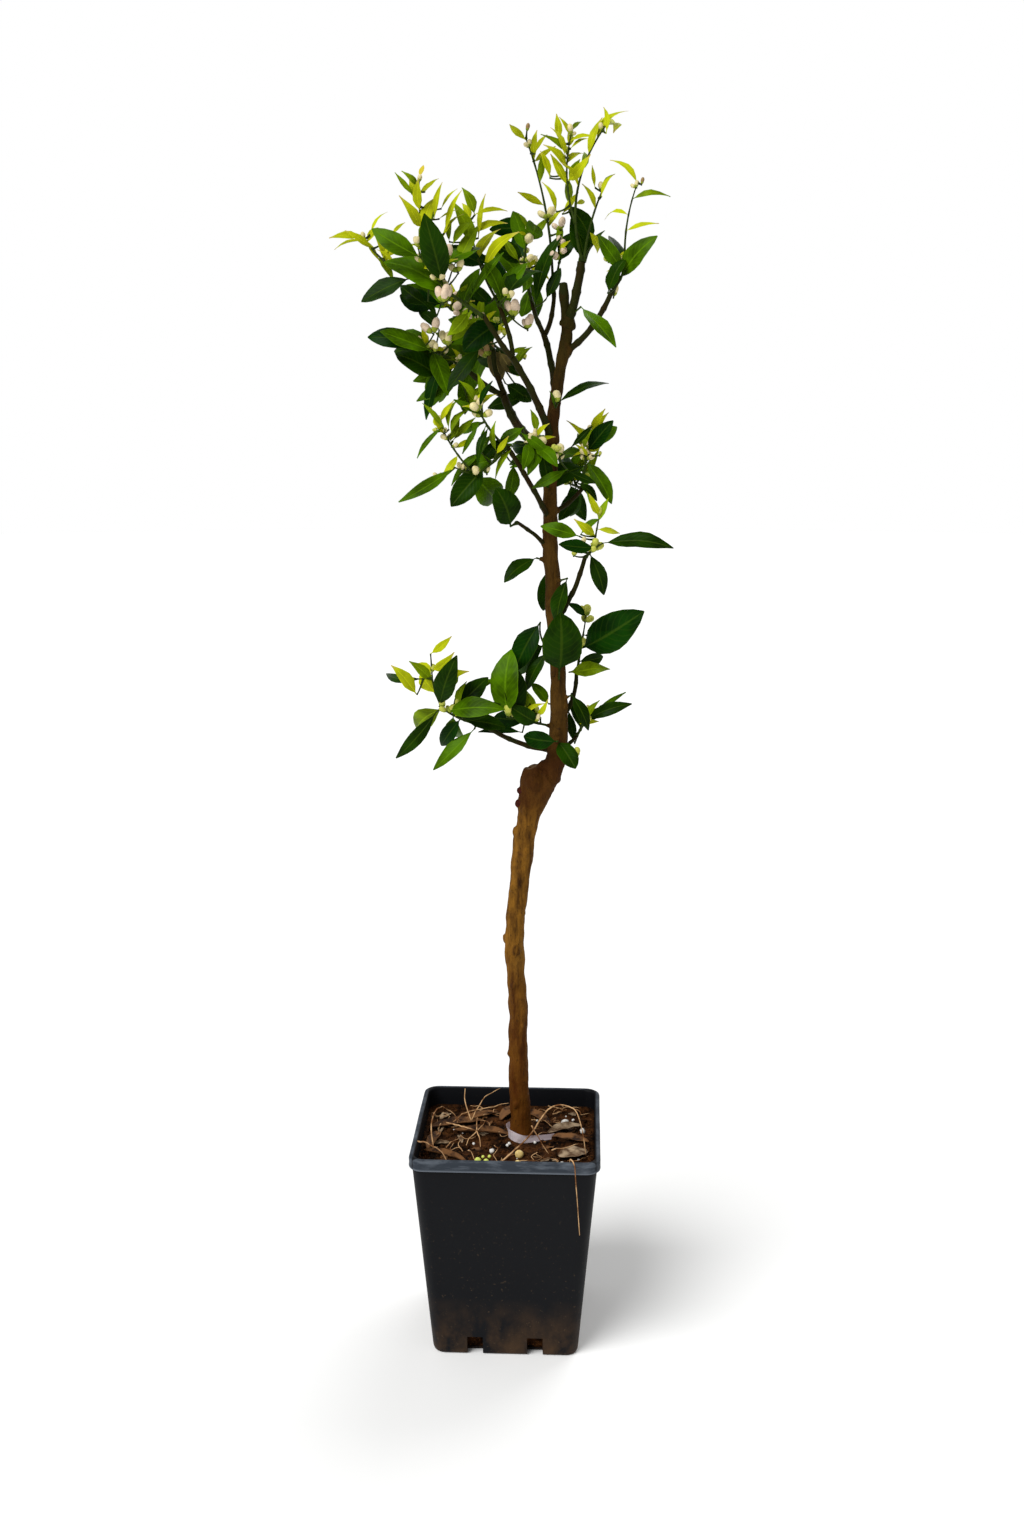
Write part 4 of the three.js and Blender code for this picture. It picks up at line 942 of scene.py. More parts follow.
class Template:
    """A small shape, made once with bmesh operators, that is set down many times from arrays."""

    def __init__(self, bm, uv=None):
        bm.verts.ensure_lookup_table()
        self.places = np.array([v.co for v in bm.verts], dtype=float)
        self.faces = [[v.index for v in f.verts] for f in bm.faces]
        self.slots = [f.material_index for f in bm.faces]
        self.uv = uv(self.places) if uv else None
        bm.free()


def joined_mesh(name, template, copies):
    """One mesh from many placed copies of a template: arrays of its points, in millimetres."""
    count = len(template.places)
    faces = [[i + n * count for i in face] for n in range(len(copies)) for face in template.faces]
    mesh = bpy.data.meshes.new(name)
    mesh.from_pydata((np.vstack(copies) * MM).tolist(), [], faces)
    mesh.polygons.foreach_set("material_index", template.slots * len(copies))
    if template.uv is not None:
        corners = np.empty(len(mesh.loops), dtype=np.int32)
        mesh.loops.foreach_get("vertex_index", corners)
        layer = mesh.uv_layers.new(name="blade")
        layer.data.foreach_set("uv", template.uv[corners % count].ravel())
    mesh.update()
    return mesh


def piece_of_copies(name, template, copies, finishes, masses, sharp=None):
    """One piece from many placed copies of a template, which stands for those masses."""
    return piece_of(name, joined_mesh(name, template, copies), finishes, sorted(set(masses)), sharp)


def masses_of(parts):
    """The masses that leaves or buds belong to."""
    return [part.row["mass"] for part in parts]


def extrude_cap(bm, face, first=False):
    """Extrudes a cap in its place and returns the new one. The old one stays only as the far end."""
    grown = bmesh.ops.extrude_face_region(bm, geom=[face])["geom"]
    if not first:
        bmesh.ops.delete(bm, geom=[face], context="FACES_ONLY")
    return next(part for part in grown if isinstance(part, bmesh.types.BMFace))


def grow_tube(bm, centres, radii, sides, upright=Vector((0, 1, 0))):
    """A closed round bar through the centres, extruded ring by ring."""
    centres = [Vector(c) for c in centres]
    last = len(centres) - 1
    ways = [(centres[min(i + 1, last)] - centres[max(i - 1, 0)]).normalized() for i in range(last + 1)]
    third = ways[0].cross(upright).normalized()
    turn = Matrix((third, third.cross(-ways[0]), ways[0])).transposed()
    start = Matrix.Translation(centres[0]) @ turn.to_4x4() @ Matrix.Scale(radii[0], 4)
    made = bmesh.ops.create_circle(bm, cap_ends=True, segments=sides, radius=1, matrix=start)
    face = made["verts"][0].link_faces[0]
    for i in range(1, last + 1):
        face = extrude_cap(bm, face, first=i == 1)
        twist = ways[i - 1].rotation_difference(ways[i]).to_matrix().to_4x4()
        size = Matrix.Scale(radii[i] / radii[i - 1], 4)
        step = Matrix.Translation(centres[i]) @ twist @ size @ Matrix.Translation(-centres[i - 1])
        bmesh.ops.transform(bm, matrix=step, verts=list(face.verts))


def square_place(index, sides, corner_points, half, corner):
    """The place of one of the points of a rounded square's outline, of which each corner has some."""
    quarter, within = divmod(index, sides // 4)
    corner = min(corner, half)

    def on_corner(quarter, turn):
        middle = (quarter + 0.5) * math.pi / 2
        reach = (half - corner) * math.sqrt(2)
        return Vector((reach * math.cos(middle) + corner * math.cos(turn),
                       reach * math.sin(middle) + corner * math.sin(turn), 0))

    if within < corner_points:
        return on_corner(quarter, (quarter + within / (corner_points - 1)) * math.pi / 2)
    share = (within - corner_points + 1) / (sides // 4 - corner_points + 1)
    turn = (quarter + 1) * math.pi / 2
    return on_corner(quarter, turn).lerp(on_corner(quarter + 1, turn), share)


def square_turning(profile, sides, corner_points):
    """A square-cornered turning: a profile of half width, height and corner radius, extruded ring
    by ring and closed at both ends. Returns its bmesh and its rings."""
    bm = bmesh.new()
    number = bm.verts.layers.int.new("number")
    ring = bmesh.ops.create_circle(bm, cap_ends=True, segments=sides, radius=1)["verts"]
    face = ring[0].link_faces[0]
    for i, v in enumerate(sorted(ring, key=lambda v: math.atan2(v.co.y, v.co.x))):
        v[number] = i
    rings = []
    for step, (half, height, corner) in enumerate(profile):
        if step:
            face = extrude_cap(bm, face, first=step == 1)
        for v in face.verts:
            v.co = square_place(v[number], sides, corner_points, half, corner)
            v.co.z = height
        rings.append(list(face.verts))
    bmesh.ops.recalc_face_normals(bm, faces=bm.faces)
    return bm, rings


def plain(name, description, default, **kind):
    """A setting that is a number."""
    return FloatProperty(name=name, description=description, default=default, **kind)


def metres(name, description, default):
    """A setting that is a length."""
    return plain(name, description, default, unit="LENGTH")


def degrees(name, description, default):
    """A setting for a turn."""
    return plain(name, description, math.radians(default), subtype="ANGLE")


def how_many(name, description, default):
    """A setting for how many there are."""
    return IntProperty(name=name, description=description, default=default)


def tint(name, description, *default):
    """A setting for a colour, given as the eye names it."""
    return FloatVectorProperty(name=name, description=description, default=srgb(*default), subtype="COLOR")


class PotSettings(bpy.types.PropertyGroup):
    """Sizes and colours of the pot."""
    height: metres("Height", "From the foot to the lip", 0.235)
    rim_half: metres("Rim", "Half the width across the lip", 0.1015)
    rim_inner: metres("Opening", "Half the width inside the lip", 0.0955)
    rim_band: metres("Band", "Height of the thick band under the lip", 0.013)
    body_top_half: metres("Body top", "Half the width just under the band", 0.098)
    base_half: metres("Base", "Half the width of the foot", 0.079)
    corner: metres("Corner", "Rounding of the upright corners", 0.014)
    wall: metres("Wall", "Thickness of the wall", 0.0018)
    floor: metres("Floor", "Thickness of the floor", 0.0024)
    plastic: tint("Plastic", "Colour of the pot", 15, 16, 19)
    dust: tint("Dust", "Colour of the dried splashes near the foot", 90, 66, 42)


class SoilSettings(bpy.types.PropertyGroup):
    """Sizes and colours of the potting soil and of what lies on it."""
    below_rim: metres("Below the lip", "How far the soil lies below the lip", 0.016)
    rise: metres("Rise", "How far the soil rises towards the stem", 0.005)
    clod: metres("Clods", "Height of the clods", 0.0045)
    crumbs: how_many("Crumbs", "Loose crumbs of soil", 620)
    perlite: how_many("Perlite", "White grains in the soil", 26)
    straws: how_many("Straws", "Dry straws and roots on the soil", 64)
    scraps: how_many("Scraps", "Scraps of dry leaf on the soil", 30)
    soil: tint("Soil", "Colour of the moist soil", 70, 40, 17)
    # The dark soil is laid in random patches, not by the face's hollows
    dark: tint("Dark soil", "Colour in its hollows", 17, 8, 4)
    straw: tint("Straw", "Colour of the dry straws", 204, 164, 118)


class WoodSettings(bpy.types.PropertyGroup):
    """Sizes and colours of the trunk, the boughs and the twigs."""
    grain: metres("Grain", "Size of the trunk's remeshed faces", 0.0011)
    relief: metres("Relief", "Depth of the bark's ridges", 0.0005)
    lumps: metres("Lumps", "Depth of the bark's broad lumps", 0.0019)
    bark: tint("Bark", "Colour of the trunk", 124, 84, 26)
    dark_bark: tint("Dark bark", "Colour of its streaks and scars", 50, 28, 7)
    bough: tint("Boughs", "Colour of the boughs", 33, 36, 7)
    twig: tint("Twigs", "Colour of the green twigs", 46, 62, 10)


class CrownSettings(bpy.types.PropertyGroup):
    """Sizes and colours of the leaves and buds."""
    thickness: metres("Thickness", "Of a leaf at its rib", 0.0006)
    wave: plain("Wave", "How much the leaves' edges wave, as a share of their width", 0.09)
    bulge: plain("Bulge", "How much each half of a leaf bulges, as a share of its width", 0.14)
    calyx: tint("Calyx", "Colour of the cup under the petals", 150, 160, 50)


class StageSettings(bpy.types.PropertyGroup):
    """The camera of the photograph, and the studio."""
    azimuth: degrees("Azimuth", "How far the camera stands to the side", PHOTO["azimuth"])
    pitch: degrees("Pitch", "How far the camera looks down", PHOTO["pitch"])
    distance: metres("Distance", "From the camera to the pot", PHOTO["distance"] * MM)
    height: metres("Height", "Of the camera", PHOTO["height"] * MM)
    aside: metres("Aside", "How far the camera is moved to its right", PHOTO["aside"] * MM)
    lens: plain("Lens", "Focal length", 38.74, unit="CAMERA")
    key: plain("Key", "Strength of the main light", 2.9)
    rim: plain("Rim", "Strength of the light from behind", 1.0)
    spread: plain("Spread", "Strength of the light from all sides", 0.34)
    floor: tint("Floor", "Colour of the floor", 248, 248, 247)


SETTINGS = dict(pot=PotSettings, soil=SoilSettings, wood=WoodSettings, crown=CrownSettings,
                stage=StageSettings)
PREFIX = "clementine_"

# The drain notches in the foot of each side, as in the part's source
NOTCH = dict(across=17, tall=21, deep=11, outside=12, from_middle=32.5)


def notch_cutters(base_half, clearance):
    """The blocks that cut two drain notches in each side, as one object."""
    bm = bmesh.new()
    deep = NOTCH["deep"] + clearance
    tall = NOTCH["tall"] + clearance
    size = (NOTCH["across"] + 2 * clearance, deep + NOTCH["outside"], tall + NOTCH["outside"])
    for side in range(4):
        for x in (-NOTCH["from_middle"], NOTCH["from_middle"]):
            middle = (x, -base_half / MM + (deep - NOTCH["outside"]) / 2, (tall - NOTCH["outside"]) / 2)
            block = bmesh.ops.create_cube(bm, size=1)["verts"]
            bmesh.ops.scale(bm, vec=Vector(size) * MM, verts=block)
            bmesh.ops.translate(bm, vec=Vector(middle) * MM, verts=block)
            turn = Matrix.Rotation(side * math.pi / 2, 3, "Z")
            bmesh.ops.rotate(bm, cent=(0, 0, 0), matrix=turn, verts=block)
    return bpy.data.objects.new("notches", mesh_from("notches", bm))


def cut_notches(piece, base_half, clearance):
    """Cuts the drain notches out of a piece and keeps the result in its mesh."""
    cutter = notch_cutters(base_half, clearance)
    bpy.context.scene.collection.objects.link(cutter)
    cut = piece.modifiers.new("notches", "BOOLEAN")
    cut.operation = "DIFFERENCE"
    cut.solver = "EXACT"
    cut.object = cutter
    keep_modified(piece)
    bpy.data.objects.remove(cutter)


def keep_modified(piece):
    """Makes a piece's modifiers part of its mesh."""
    bpy.context.view_layer.update()
    graph = bpy.context.evaluated_depsgraph_get()
    mesh = bpy.data.meshes.new_from_object(piece.evaluated_get(graph), depsgraph=graph)
    mesh.name = piece.name
    piece.modifiers.clear()
    piece.data = mesh


def pot_finish(pot):
    """Matt black plastic, dusty towards the foot. On the outside of the lip it has a painted bluish
    sheen, with scuffs and a lighter lower edge that is partly wear and partly a painted highlight.
    """
    finish = Finish("pot_plastic", Roughness=0.5, Specular_IOR_Level=0.09)
    height = finish.height()
    clouds = finish.noise(9, detail=6)
    patches = finish.fade(finish.noise(26, (1, 1, 0.7), detail=5), 0.4, 0.62)
    low = finish.times(patches, finish.fade(height, 0.07, 0.008))
    dots = finish.times(finish.fade(finish.noise(260, detail=2, roughness=0.7), 0.64, 0.74),
                        finish.fade(height, 0.2, 0.02, 0.1, 0.5))
    sides = finish.add("SeparateXYZ", {"Vector": finish.spot()}).outputs
    away = finish.maths("MAXIMUM", finish.maths("ABSOLUTE", sides["X"]), finish.maths("ABSOLUTE", sides["Y"]))
    band = pot.height - pot.rim_band
    # The lip above the band, away from its inner wall, where a painted bluish sheen is laid
    lip = finish.times(finish.fade(height, band - 0.001, band + 0.001),
                       finish.fade(away, pot.rim_inner + 0.001, pot.rim_inner + 0.002))
    scuffs = finish.fade(finish.noise(120, (0.35, 0.35, 1.6), detail=5), 0.45, 0.75)
    # The lower edge of the lip's roll, lighter as wear and as a painted highlight
    edge = finish.fade(height, band + 0.0032, band + 0.0006, 0, 0.75)
    wear_and_painted_highlight = finish.maths("MAXIMUM", finish.times(scuffs, 0.5), edge)
    finish.colour(tuple(pot.plastic))
    finish.over(finish.times(low, 0.55), tuple(pot.dust))
    finish.over(finish.times(dots, 0.5), srgb(120, 98, 72))
    # Painted sheen: bluish grey on the lip's outside, lighter where it is scuffed and where the painted
    # highlight runs along its lower edge
    finish.over(finish.times(lip, 0.85), finish.blend(wear_and_painted_highlight, srgb(50, 56, 64), srgb(126, 134, 144)))
    finish.feed(finish.shader, {"Roughness": finish.fade(clouds, 0.3, 0.7, 0.42, 0.62)})
    finish.relief(finish.noise(70, detail=5), 0.0004, 0.5)
    return finish.material


class MakePot(bpy.types.Operator):
    """Make the square nursery pot, with its rolled lip and drain notches"""
    bl_idname = "clementine.pot"
    bl_label = "Pot"

    def execute(self, context):
        pot = context.scene.clementine_pot
        band = pot.height - pot.rim_band
        top = pot.height
        inner = pot.body_top_half - pot.wall
        slope = (pot.body_top_half - pot.base_half) / band
        profile = [
            (pot.base_half - 0.003, 0, pot.corner - 0.003),
            (pot.base_half - 0.001, 0.0007, pot.corner - 0.001),
            (pot.base_half, 0.003, pot.corner),
            (pot.base_half + 0.002 * slope + 0.0003, 0.006, pot.corner),
        ]
        for share in (0.2, 0.4, 0.6, 0.8, 0.97, 1):
            profile.append((lerp(pot.base_half, pot.body_top_half, share), band * share, pot.corner))
        profile += [
            (pot.rim_half - 0.0016, band, pot.corner + 0.001),
            (pot.rim_half - 0.0004, band + 0.0006, pot.corner + 0.002),
            (pot.rim_half, band + 0.0022, pot.corner + 0.002),
            (pot.rim_half - 0.0004, band + 0.0055, pot.corner + 0.002),
            (pot.rim_half - 0.0001, top - 0.003, pot.corner + 0.002),
            (pot.rim_half - 0.0008, top - 0.001, pot.corner + 0.0015),
            (pot.rim_half - 0.0022, top, pot.corner + 0.001),
            (pot.rim_inner + 0.002, top, pot.corner),
            (pot.rim_inner + 0.0006, top - 0.0008, pot.corner - 0.001),
            (pot.rim_inner, top - 0.0024, pot.corner - 0.001),
            (inner, band, pot.corner - 0.001),
            (lerp(pot.base_half, pot.body_top_half, pot.floor / band) - pot.wall, pot.floor,
             pot.corner - 0.002),
        ]
        bm, rings = square_turning(profile, 64, 12)
        for ring in rings[4:-2]:
            for v in ring:
                wander = noise.noise(Vector((v.co.x, v.co.y, 0)) * 11) * 0.0007
                v.co += Vector((v.co.x, v.co.y, 0)).normalized() * wander
        piece = piece_from("pot_shell", bm, [pot_finish(pot)], ["pot"])
        cut_notches(piece, pot.base_half, 0)
        piece.data.set_sharp_from_angle(angle=math.radians(38))
        return {"FINISHED"}


def soil_finish(soil):
    """Moist, crumbly potting soil in dark and lighter patches, with painted shade in the pits of its bump."""
    finish = Finish("potting_soil", Roughness=0.92, Specular_IOR_Level=0.05)
    coarse = finish.noise(55, detail=6)
    fine = finish.noise(320, detail=4, roughness=0.75)
    grain = finish.cells(210)
    finish.colour(tuple(soil.dark))
    finish.over(finish.fade(coarse, 0.4, 0.62), tuple(soil.soil))
    finish.over(finish.fade(fine, 0.56, 0.72, 0, 0.75), srgb(124, 80, 38))
    # Painted shade: near-black brown in the pits that the grain's cells sink in the bump
    finish.over(finish.fade(grain, 0.25, 0.02, 0, 0.6), srgb(14, 9, 7))
    finish.relief(finish.maths("ADD", fine, grain), 0.0016, 0.9)
    return finish.material


def soil_height(x, y, soil, top, pot):
    """The height of the soil's face at a place in the pot: a low mound with clods."""
    reach = min(math.hypot(x, y) / pot.rim_inner, 1)
    mound = top - soil.rise * reach**1.5
    spot = Vector((x, y, 0))
    clods = noise.fractal(spot * 60, 0.9, 2.1, 4) + 0.6 * noise.noise(spot * 26)
    return mound + soil.clod * (0.55 * clods - 0.35)


# The soil's block, in metres: how far it is clear of the wall, how much tighter its corners are
# than the pot's and its middle level; then how many rings its face has and how many points each
SOIL_GRID = dict(clear=0.0003, tighter=0.003, middle=0.12, rings=34, around=176)


class MakeSoil(bpy.types.Operator):
    """Make the block of potting soil with its cloddy face, and the loose crumbs on it"""
    bl_idname = "clementine.soil"
    bl_label = "Soil"

    def execute(self, context):
        soil = context.scene.clementine_soil
        pot = context.scene.clementine_pot
        top = pot.height - soil.below_rim
        band = pot.height - pot.rim_band
        gap = pot.wall + SOIL_GRID["clear"]
        foot = pot.floor + SOIL_GRID["clear"]

        def half_at(height):
            return lerp(pot.base_half, pot.body_top_half, height / band) - gap

        edge = top - soil.rise
        corner = pot.corner - SOIL_GRID["tighter"]
        profile = [(half_at(height), height, corner) for height in (foot, SOIL_GRID["middle"], edge)]
        rings = SOIL_GRID["rings"]
        for i in range(1, rings):
            share = 1 - i / rings
            profile.append((half_at(edge) * share, edge, max(pot.corner * share, 0.0002)))
        bm, made = square_turning(profile, SOIL_GRID["around"], 8)
        for ring in made[3:]:
            for v in ring:
                v.co.z = soil_height(v.co.x, v.co.y, soil, top, pot)
        piece = piece_from("soil_block", bm, [soil_finish(soil)], ["soil"])
        cut_notches(piece, pot.base_half, 1.2)
        self.scatter_crumbs(soil, pot, top)
        return {"FINISHED"}

    def scatter_crumbs(self, soil, pot, top):
        """Loose crumbs, scattered over the soil away from the trunk, each a small bent ball."""
        chance = random.Random(41)
        bm = bmesh.new()
        bmesh.ops.create_icosphere(bm, subdivisions=1, radius=1)
        for v in bm.verts:
            v.co *= 1 + 0.28 * noise.noise(v.co * 1.7)
        template = Template(bm)
        copies = []
        while len(copies) < soil.crumbs:
            x, y = any_place(chance, pot.rim_inner - 0.004)
            if at_trunk(x / MM, y / MM, 17):
                continue
            size = chance.uniform(0.9, 2.6) if chance.random() < 0.8 else chance.uniform(2.6, 4.6)
            turn = np.array(Matrix.Rotation(chance.uniform(0, 6.3), 3, Vector(
                (chance.uniform(-1, 1), chance.uniform(-1, 1), 1)).normalized()))
            shape = template.places * vec(1, chance.uniform(0.6, 1), chance.uniform(0.45, 0.9)) * size
            place = vec(x / MM, y / MM, soil_height(x, y, soil, top, pot) / MM + size * 0.2)
            copies.append(shape @ turn.T + place)
        piece_of_copies("soil_crumbs", template, copies, [soil_finish(soil)], ["soil"])


def straw_finish(name, colour, dark):
    """Dry plant fibre with darker stretches."""
    finish = Finish(name, Roughness=0.7, Specular_IOR_Level=0.1)
    bands = finish.noise(70, detail=5)
    finish.colour(finish.blend(finish.fade(bands, 0.42, 0.6), colour, dark))
    finish.relief(finish.noise(700, detail=2), 0.0003, 0.5)
    return finish.material


def grain_finish(name, colour, shade, rough):
    """A pale grain with a mottled face."""
    finish = Finish(name, Roughness=rough)
    finish.colour(finish.blend(finish.fade(finish.noise(400), 0.4, 0.75), colour, shade))
    finish.relief(finish.noise(900, detail=3), 0.0002, 0.6)
    return finish.material


# Straws and roots that the photograph shows on the soil: their points, x, y and height over the
# soil, in millimetres, after half their thickness. The last one hangs over the front of the lip.
STRAWS = [
    (1.0, ((-4, -58, 2), (10, -54, 13), (26, -45, 25), (36, -38, 39), (47, -34, 53), (60, -31, 56),
          (72, -33, 53), (79, -38, 42), (83, -44, 28), (86, -50, 8))),
    (0.7, ((27, -42, 34), (36, -48, 22), (46, -52, 9))),
    (0.9, ((-76, 39, 4), (-60, 20, 7), (-43, 10, 6), (-35, 2, 7))),
    (0.7, ((-35, 2, 7), (-36, 15, 10), (-36, 26, 13))),
    (0.7, ((-35, 2, 7), (-42, -12, 6), (-45, -24, 3))),
    (0.8, ((-35, 2, 7), (-31, -14, 6), (-29, -28, 3))),
    (0.6, ((-35, 2, 7), (-30, 10, 9), (-27, 20, 11))),
    (0.9, ((-80, -34, 4), (-84, -14, 24), (-80, 16, 29), (-67, 31, 20), (-56, 28, 9))),
    (0.8, ((-43, 28, 9), (-51, 42, 26), (-52, 58, 35))),
    (0.8, ((-43, 28, 9), (-32, 49, 24), (-13, 73, 30))),
    (0.8, ((-63, 27, 9), (-50, 34, 16), (-23, 43, 18), (-2, 52, 20))),
    (1.0, ((-98, -49, 21), (-84, -54, 22), (-70, -59, 15), (-63, -65, 7))),
    (0.8, ((49, -48, 11), (63, -45, 14), (82, -26, 10))),
    (0.8, ((60, -84, 6), (67, -91, 16), (71, -98, 18.5), (74, -103.5, 15), (75, -105.5, 5),
          (76, -104, -10), (77, -101.5, -23), (79, -100, -52), (80, -99, -66))),
]

# Dry curled leaves on the soil: their middle and how high it lies, their turn, length and width, how
# much they curl, and their kind
DRY_LEAVES = [
    (-60, 34, 8, 20, 62, 20, 0.9, "brown"), (-28, 8, 7, -8, 66, 17, 1.1, "brown"),
    (-66, -48, 8, -28, 54, 13, 1.2, "brown"), (-34, 56, 8, 35, 48, 15, 1.0, "brown"),
    (72, -38, 9, 24, 34, 27, 0.5, "grey"), (68, -4, 9, -18, 44, 16, 0.8, "brown"),
    (62, 24, 9, 30, 42, 18, 0.9, "grey"), (-4, 62, 8, 70, 40, 14, 0.9, "brown"),
    (30, 60, 8, -50, 46, 16, 1.0, "brown"), (-82, -10, 9, 78, 46, 14, 1.1, "brown"),
]
# Grains that show in the photograph: x, y and half the size, in millimetres
WHITE_GRAINS = ((-16, -38, 2.8), (60, -62, 3.6), (62, 42, 4.4), (82, 26, 3.2), (30, -12, 1.6))
CREAM_PRILLS = ((14, -47, 4.8), (13, -63, 3.8))
LIME_PRILLS = ((-30, -58, 3.8), (-21, -60, 3), (-18, -50, 2), (-25, -49, 1.9))


# How far from the middle litter lies, and where straws are held; further out, past the wall, their
# heights are over that level
LITTER = dict(reach=84, held=90, wall=95, level=219)


def smooth_line(points, steps):
    """Points on a smooth line through the given ones."""
    rows = with_ends(np.array(points, dtype=float))
    line = [on_curve(rows, step, i / steps) for step in range(len(points) - 1) for i in range(steps)]
    return np.array(line + [rows[-2]])


def any_place(chance, reach):
    """A place in the pot, in millimetres."""
    return chance.uniform(-reach, reach), chance.uniform(-reach, reach)


def at_trunk(x, y, reach):
    """True within that reach of the trunk's foot, in millimetres."""
    return math.hypot(x - TRUNK[0][1], y) < reach


class MakeLitter(bpy.types.Operator):
    """Make what lies on the soil: straws and roots, dry leaves, white grains and prills"""
    bl_idname = "clementine.litter"
    bl_label = "Litter on the soil"

    def execute(self, context):
        soil = context.scene.clementine_soil
        pot = context.scene.clementine_pot
        top = pot.height - soil.below_rim

        def ground(x, y):
            return soil_height(x * MM, y * MM, soil, top, pot) / MM

        self.make_straws(soil, ground)
        self.make_dry_leaves(soil, ground)
        self.make_grains(soil, ground)
        return {"FINISHED"}

    def make_straws(self, soil, ground):
        chance = random.Random(7)
        held = LITTER["held"]
        rows = list(STRAWS)
        while len(rows) < soil.straws:
            x, y = any_place(chance, LITTER["reach"])
            turn = chance.uniform(0, 2 * math.pi)
            length = chance.uniform(14, 38)
            if at_trunk(x, y, 24):
                continue
            line = []
            for step in range(4):
                wide = max(-held, min(held, x + math.cos(turn) * length * step / 3))
                deep = max(-held, min(held, y + math.sin(turn) * length * step / 3))
                line.append((wide, deep, chance.uniform(1, 5)))
                turn += chance.uniform(-0.7, 0.7)
            rows.append((chance.uniform(0.35, 0.7), line))
        bm = bmesh.new()
        for half, points in rows:
            line = smooth_line(points, 5)
            line[:, 2] += [LITTER["level"] if abs(y) > LITTER["wall"] else ground(x, y)
                           for x, y, lift in line]
            thin = [half * (1 - 0.55 * i / len(line)) * MM for i in range(len(line))]
            grow_tube(bm, line * MM, thin, 6)
        bmesh.ops.recalc_face_normals(bm, faces=bm.faces)
        finish = straw_finish("dry_straw", tuple(soil.straw), srgb(112, 70, 36))
        piece_from("dry_straws", bm, [finish])

    def scraps(self, soil):
        """Small scraps of dry leaf between the large ones."""
        chance = random.Random(23)
        rows = []
        while len(rows) < soil.scraps:
            x, y = any_place(chance, LITTER["reach"] - 2)
            if not at_trunk(x, y, 26):
                rows.append((x, y, 5, chance.uniform(0, 360), chance.uniform(9, 24), chance.uniform(5, 11),
                             chance.uniform(0.3, 1.2), chance.choice(("brown", "brown", "grey"))))
        return rows

    def make_dry_leaves(self, soil, ground):
        """Each is a thin sheet, pinched at both ends and rolled across its rib."""
        finishes = {
            "brown": straw_finish("dry_leaf_brown", srgb(112, 76, 44), srgb(36, 20, 11)),
            "grey": straw_finish("dry_leaf_grey", srgb(164, 142, 114), srgb(84, 62, 42)),
        }
        rows = DRY_LEAVES + self.scraps(soil)
        for kind, finish in finishes.items():
            bm = bmesh.new()
            for x, y, lift, turn, length, width, curl in (row[:-1] for row in rows if row[-1] == kind):
                sheet = bmesh.ops.create_grid(bm, x_segments=12, y_segments=5, size=0.5)["verts"]
                for v in sheet:
                    s, w = v.co.x, v.co.y
                    wide = width * math.cos(s * math.pi * 0.94)**0.7
                    roll = w * 2 * curl
                    ripple = 0.9 * math.sin(s * 17 + turn) * abs(w)
                    v.co = Vector((s * length, wide * math.sin(roll) / (2 * curl),
                                   wide * (1 - math.cos(roll)) / 2 + ripple - 5 * s * s)) * MM
                move = Matrix.Translation(Vector((x, y, ground(x, y) + lift - 4)) * MM)
                turned = Matrix.Rotation(math.radians(turn), 4, "Z")
                bmesh.ops.transform(bm, matrix=move @ turned, verts=sheet)
            bmesh.ops.solidify(bm, geom=bm.faces[:], thickness=0.5 * MM)
            bmesh.ops.recalc_face_normals(bm, faces=bm.faces)
            piece_from("dry_leaves_" + kind, bm, [finish])

    def make_grains(self, soil, ground):
        """White grains, of which more are scattered, and prills: how uneven they are, and their looks."""
        chance = random.Random(19)
        white = list(WHITE_GRAINS)
        while len(white) < soil.perlite:
            white.append((*any_place(chance, LITTER["reach"] + 2), chance.uniform(0.7, 1.9)))
        kinds = (
            ("white_grains", white, 0.35, "perlite", srgb(232, 230, 224), srgb(190, 184, 174), 0.85),
            ("cream_prills", CREAM_PRILLS, 0.05, "prill_shell", srgb(238, 212, 138), srgb(206, 172, 88),
             0.45),
            ("lime_prills", LIME_PRILLS, 0.05, "lime_shell", srgb(214, 222, 104), srgb(164, 184, 50), 0.45),
        )
        for name, rows, uneven, *looks in kinds:
            bm = bmesh.new()
            for x, y, half in rows:
                ball = bmesh.ops.create_icosphere(bm, subdivisions=2, radius=1)["verts"]
                away = Vector((*any_place(chance, 9), 0))
                for v in ball:
                    v.co *= half * (1 + uneven * noise.noise(v.co * 1.3 + away))
                    v.co += Vector((x, y, ground(x, y) + half * 0.8))
                    v.co *= MM
            piece_from(name, bm, [grain_finish(*looks)])


def strip_finish():
    """Pale satin plastic strip, faintly soiled."""
    finish = Finish("pale_strip", Roughness=0.4, Specular_IOR_Level=0.3)
    stains = finish.fade(finish.noise(110, detail=5), 0.56, 0.78)
    finish.colour(finish.blend(stains, srgb(238, 228, 232), srgb(176, 150, 140)))
    finish.relief(finish.noise(60, detail=3), 0.0006, 0.4)
    return finish.material


# The pale strip round the foot of the trunk, as in the part's source, with its tail; how far it is
# sunk, and the steps of its loop and its tail
COLLAR = dict(middle=(15, 0), inner=14.8, thick=0.9, tall=12.5, tail=31, start=2.6, end=4.95, sunk=0.6,
              loop_steps=24, tail_steps=10)
# Its levels, and how far out each is as a share of the loop
COLLAR_LEVELS = ((0, 0.97), (0.5, 1), (1, 1.05))


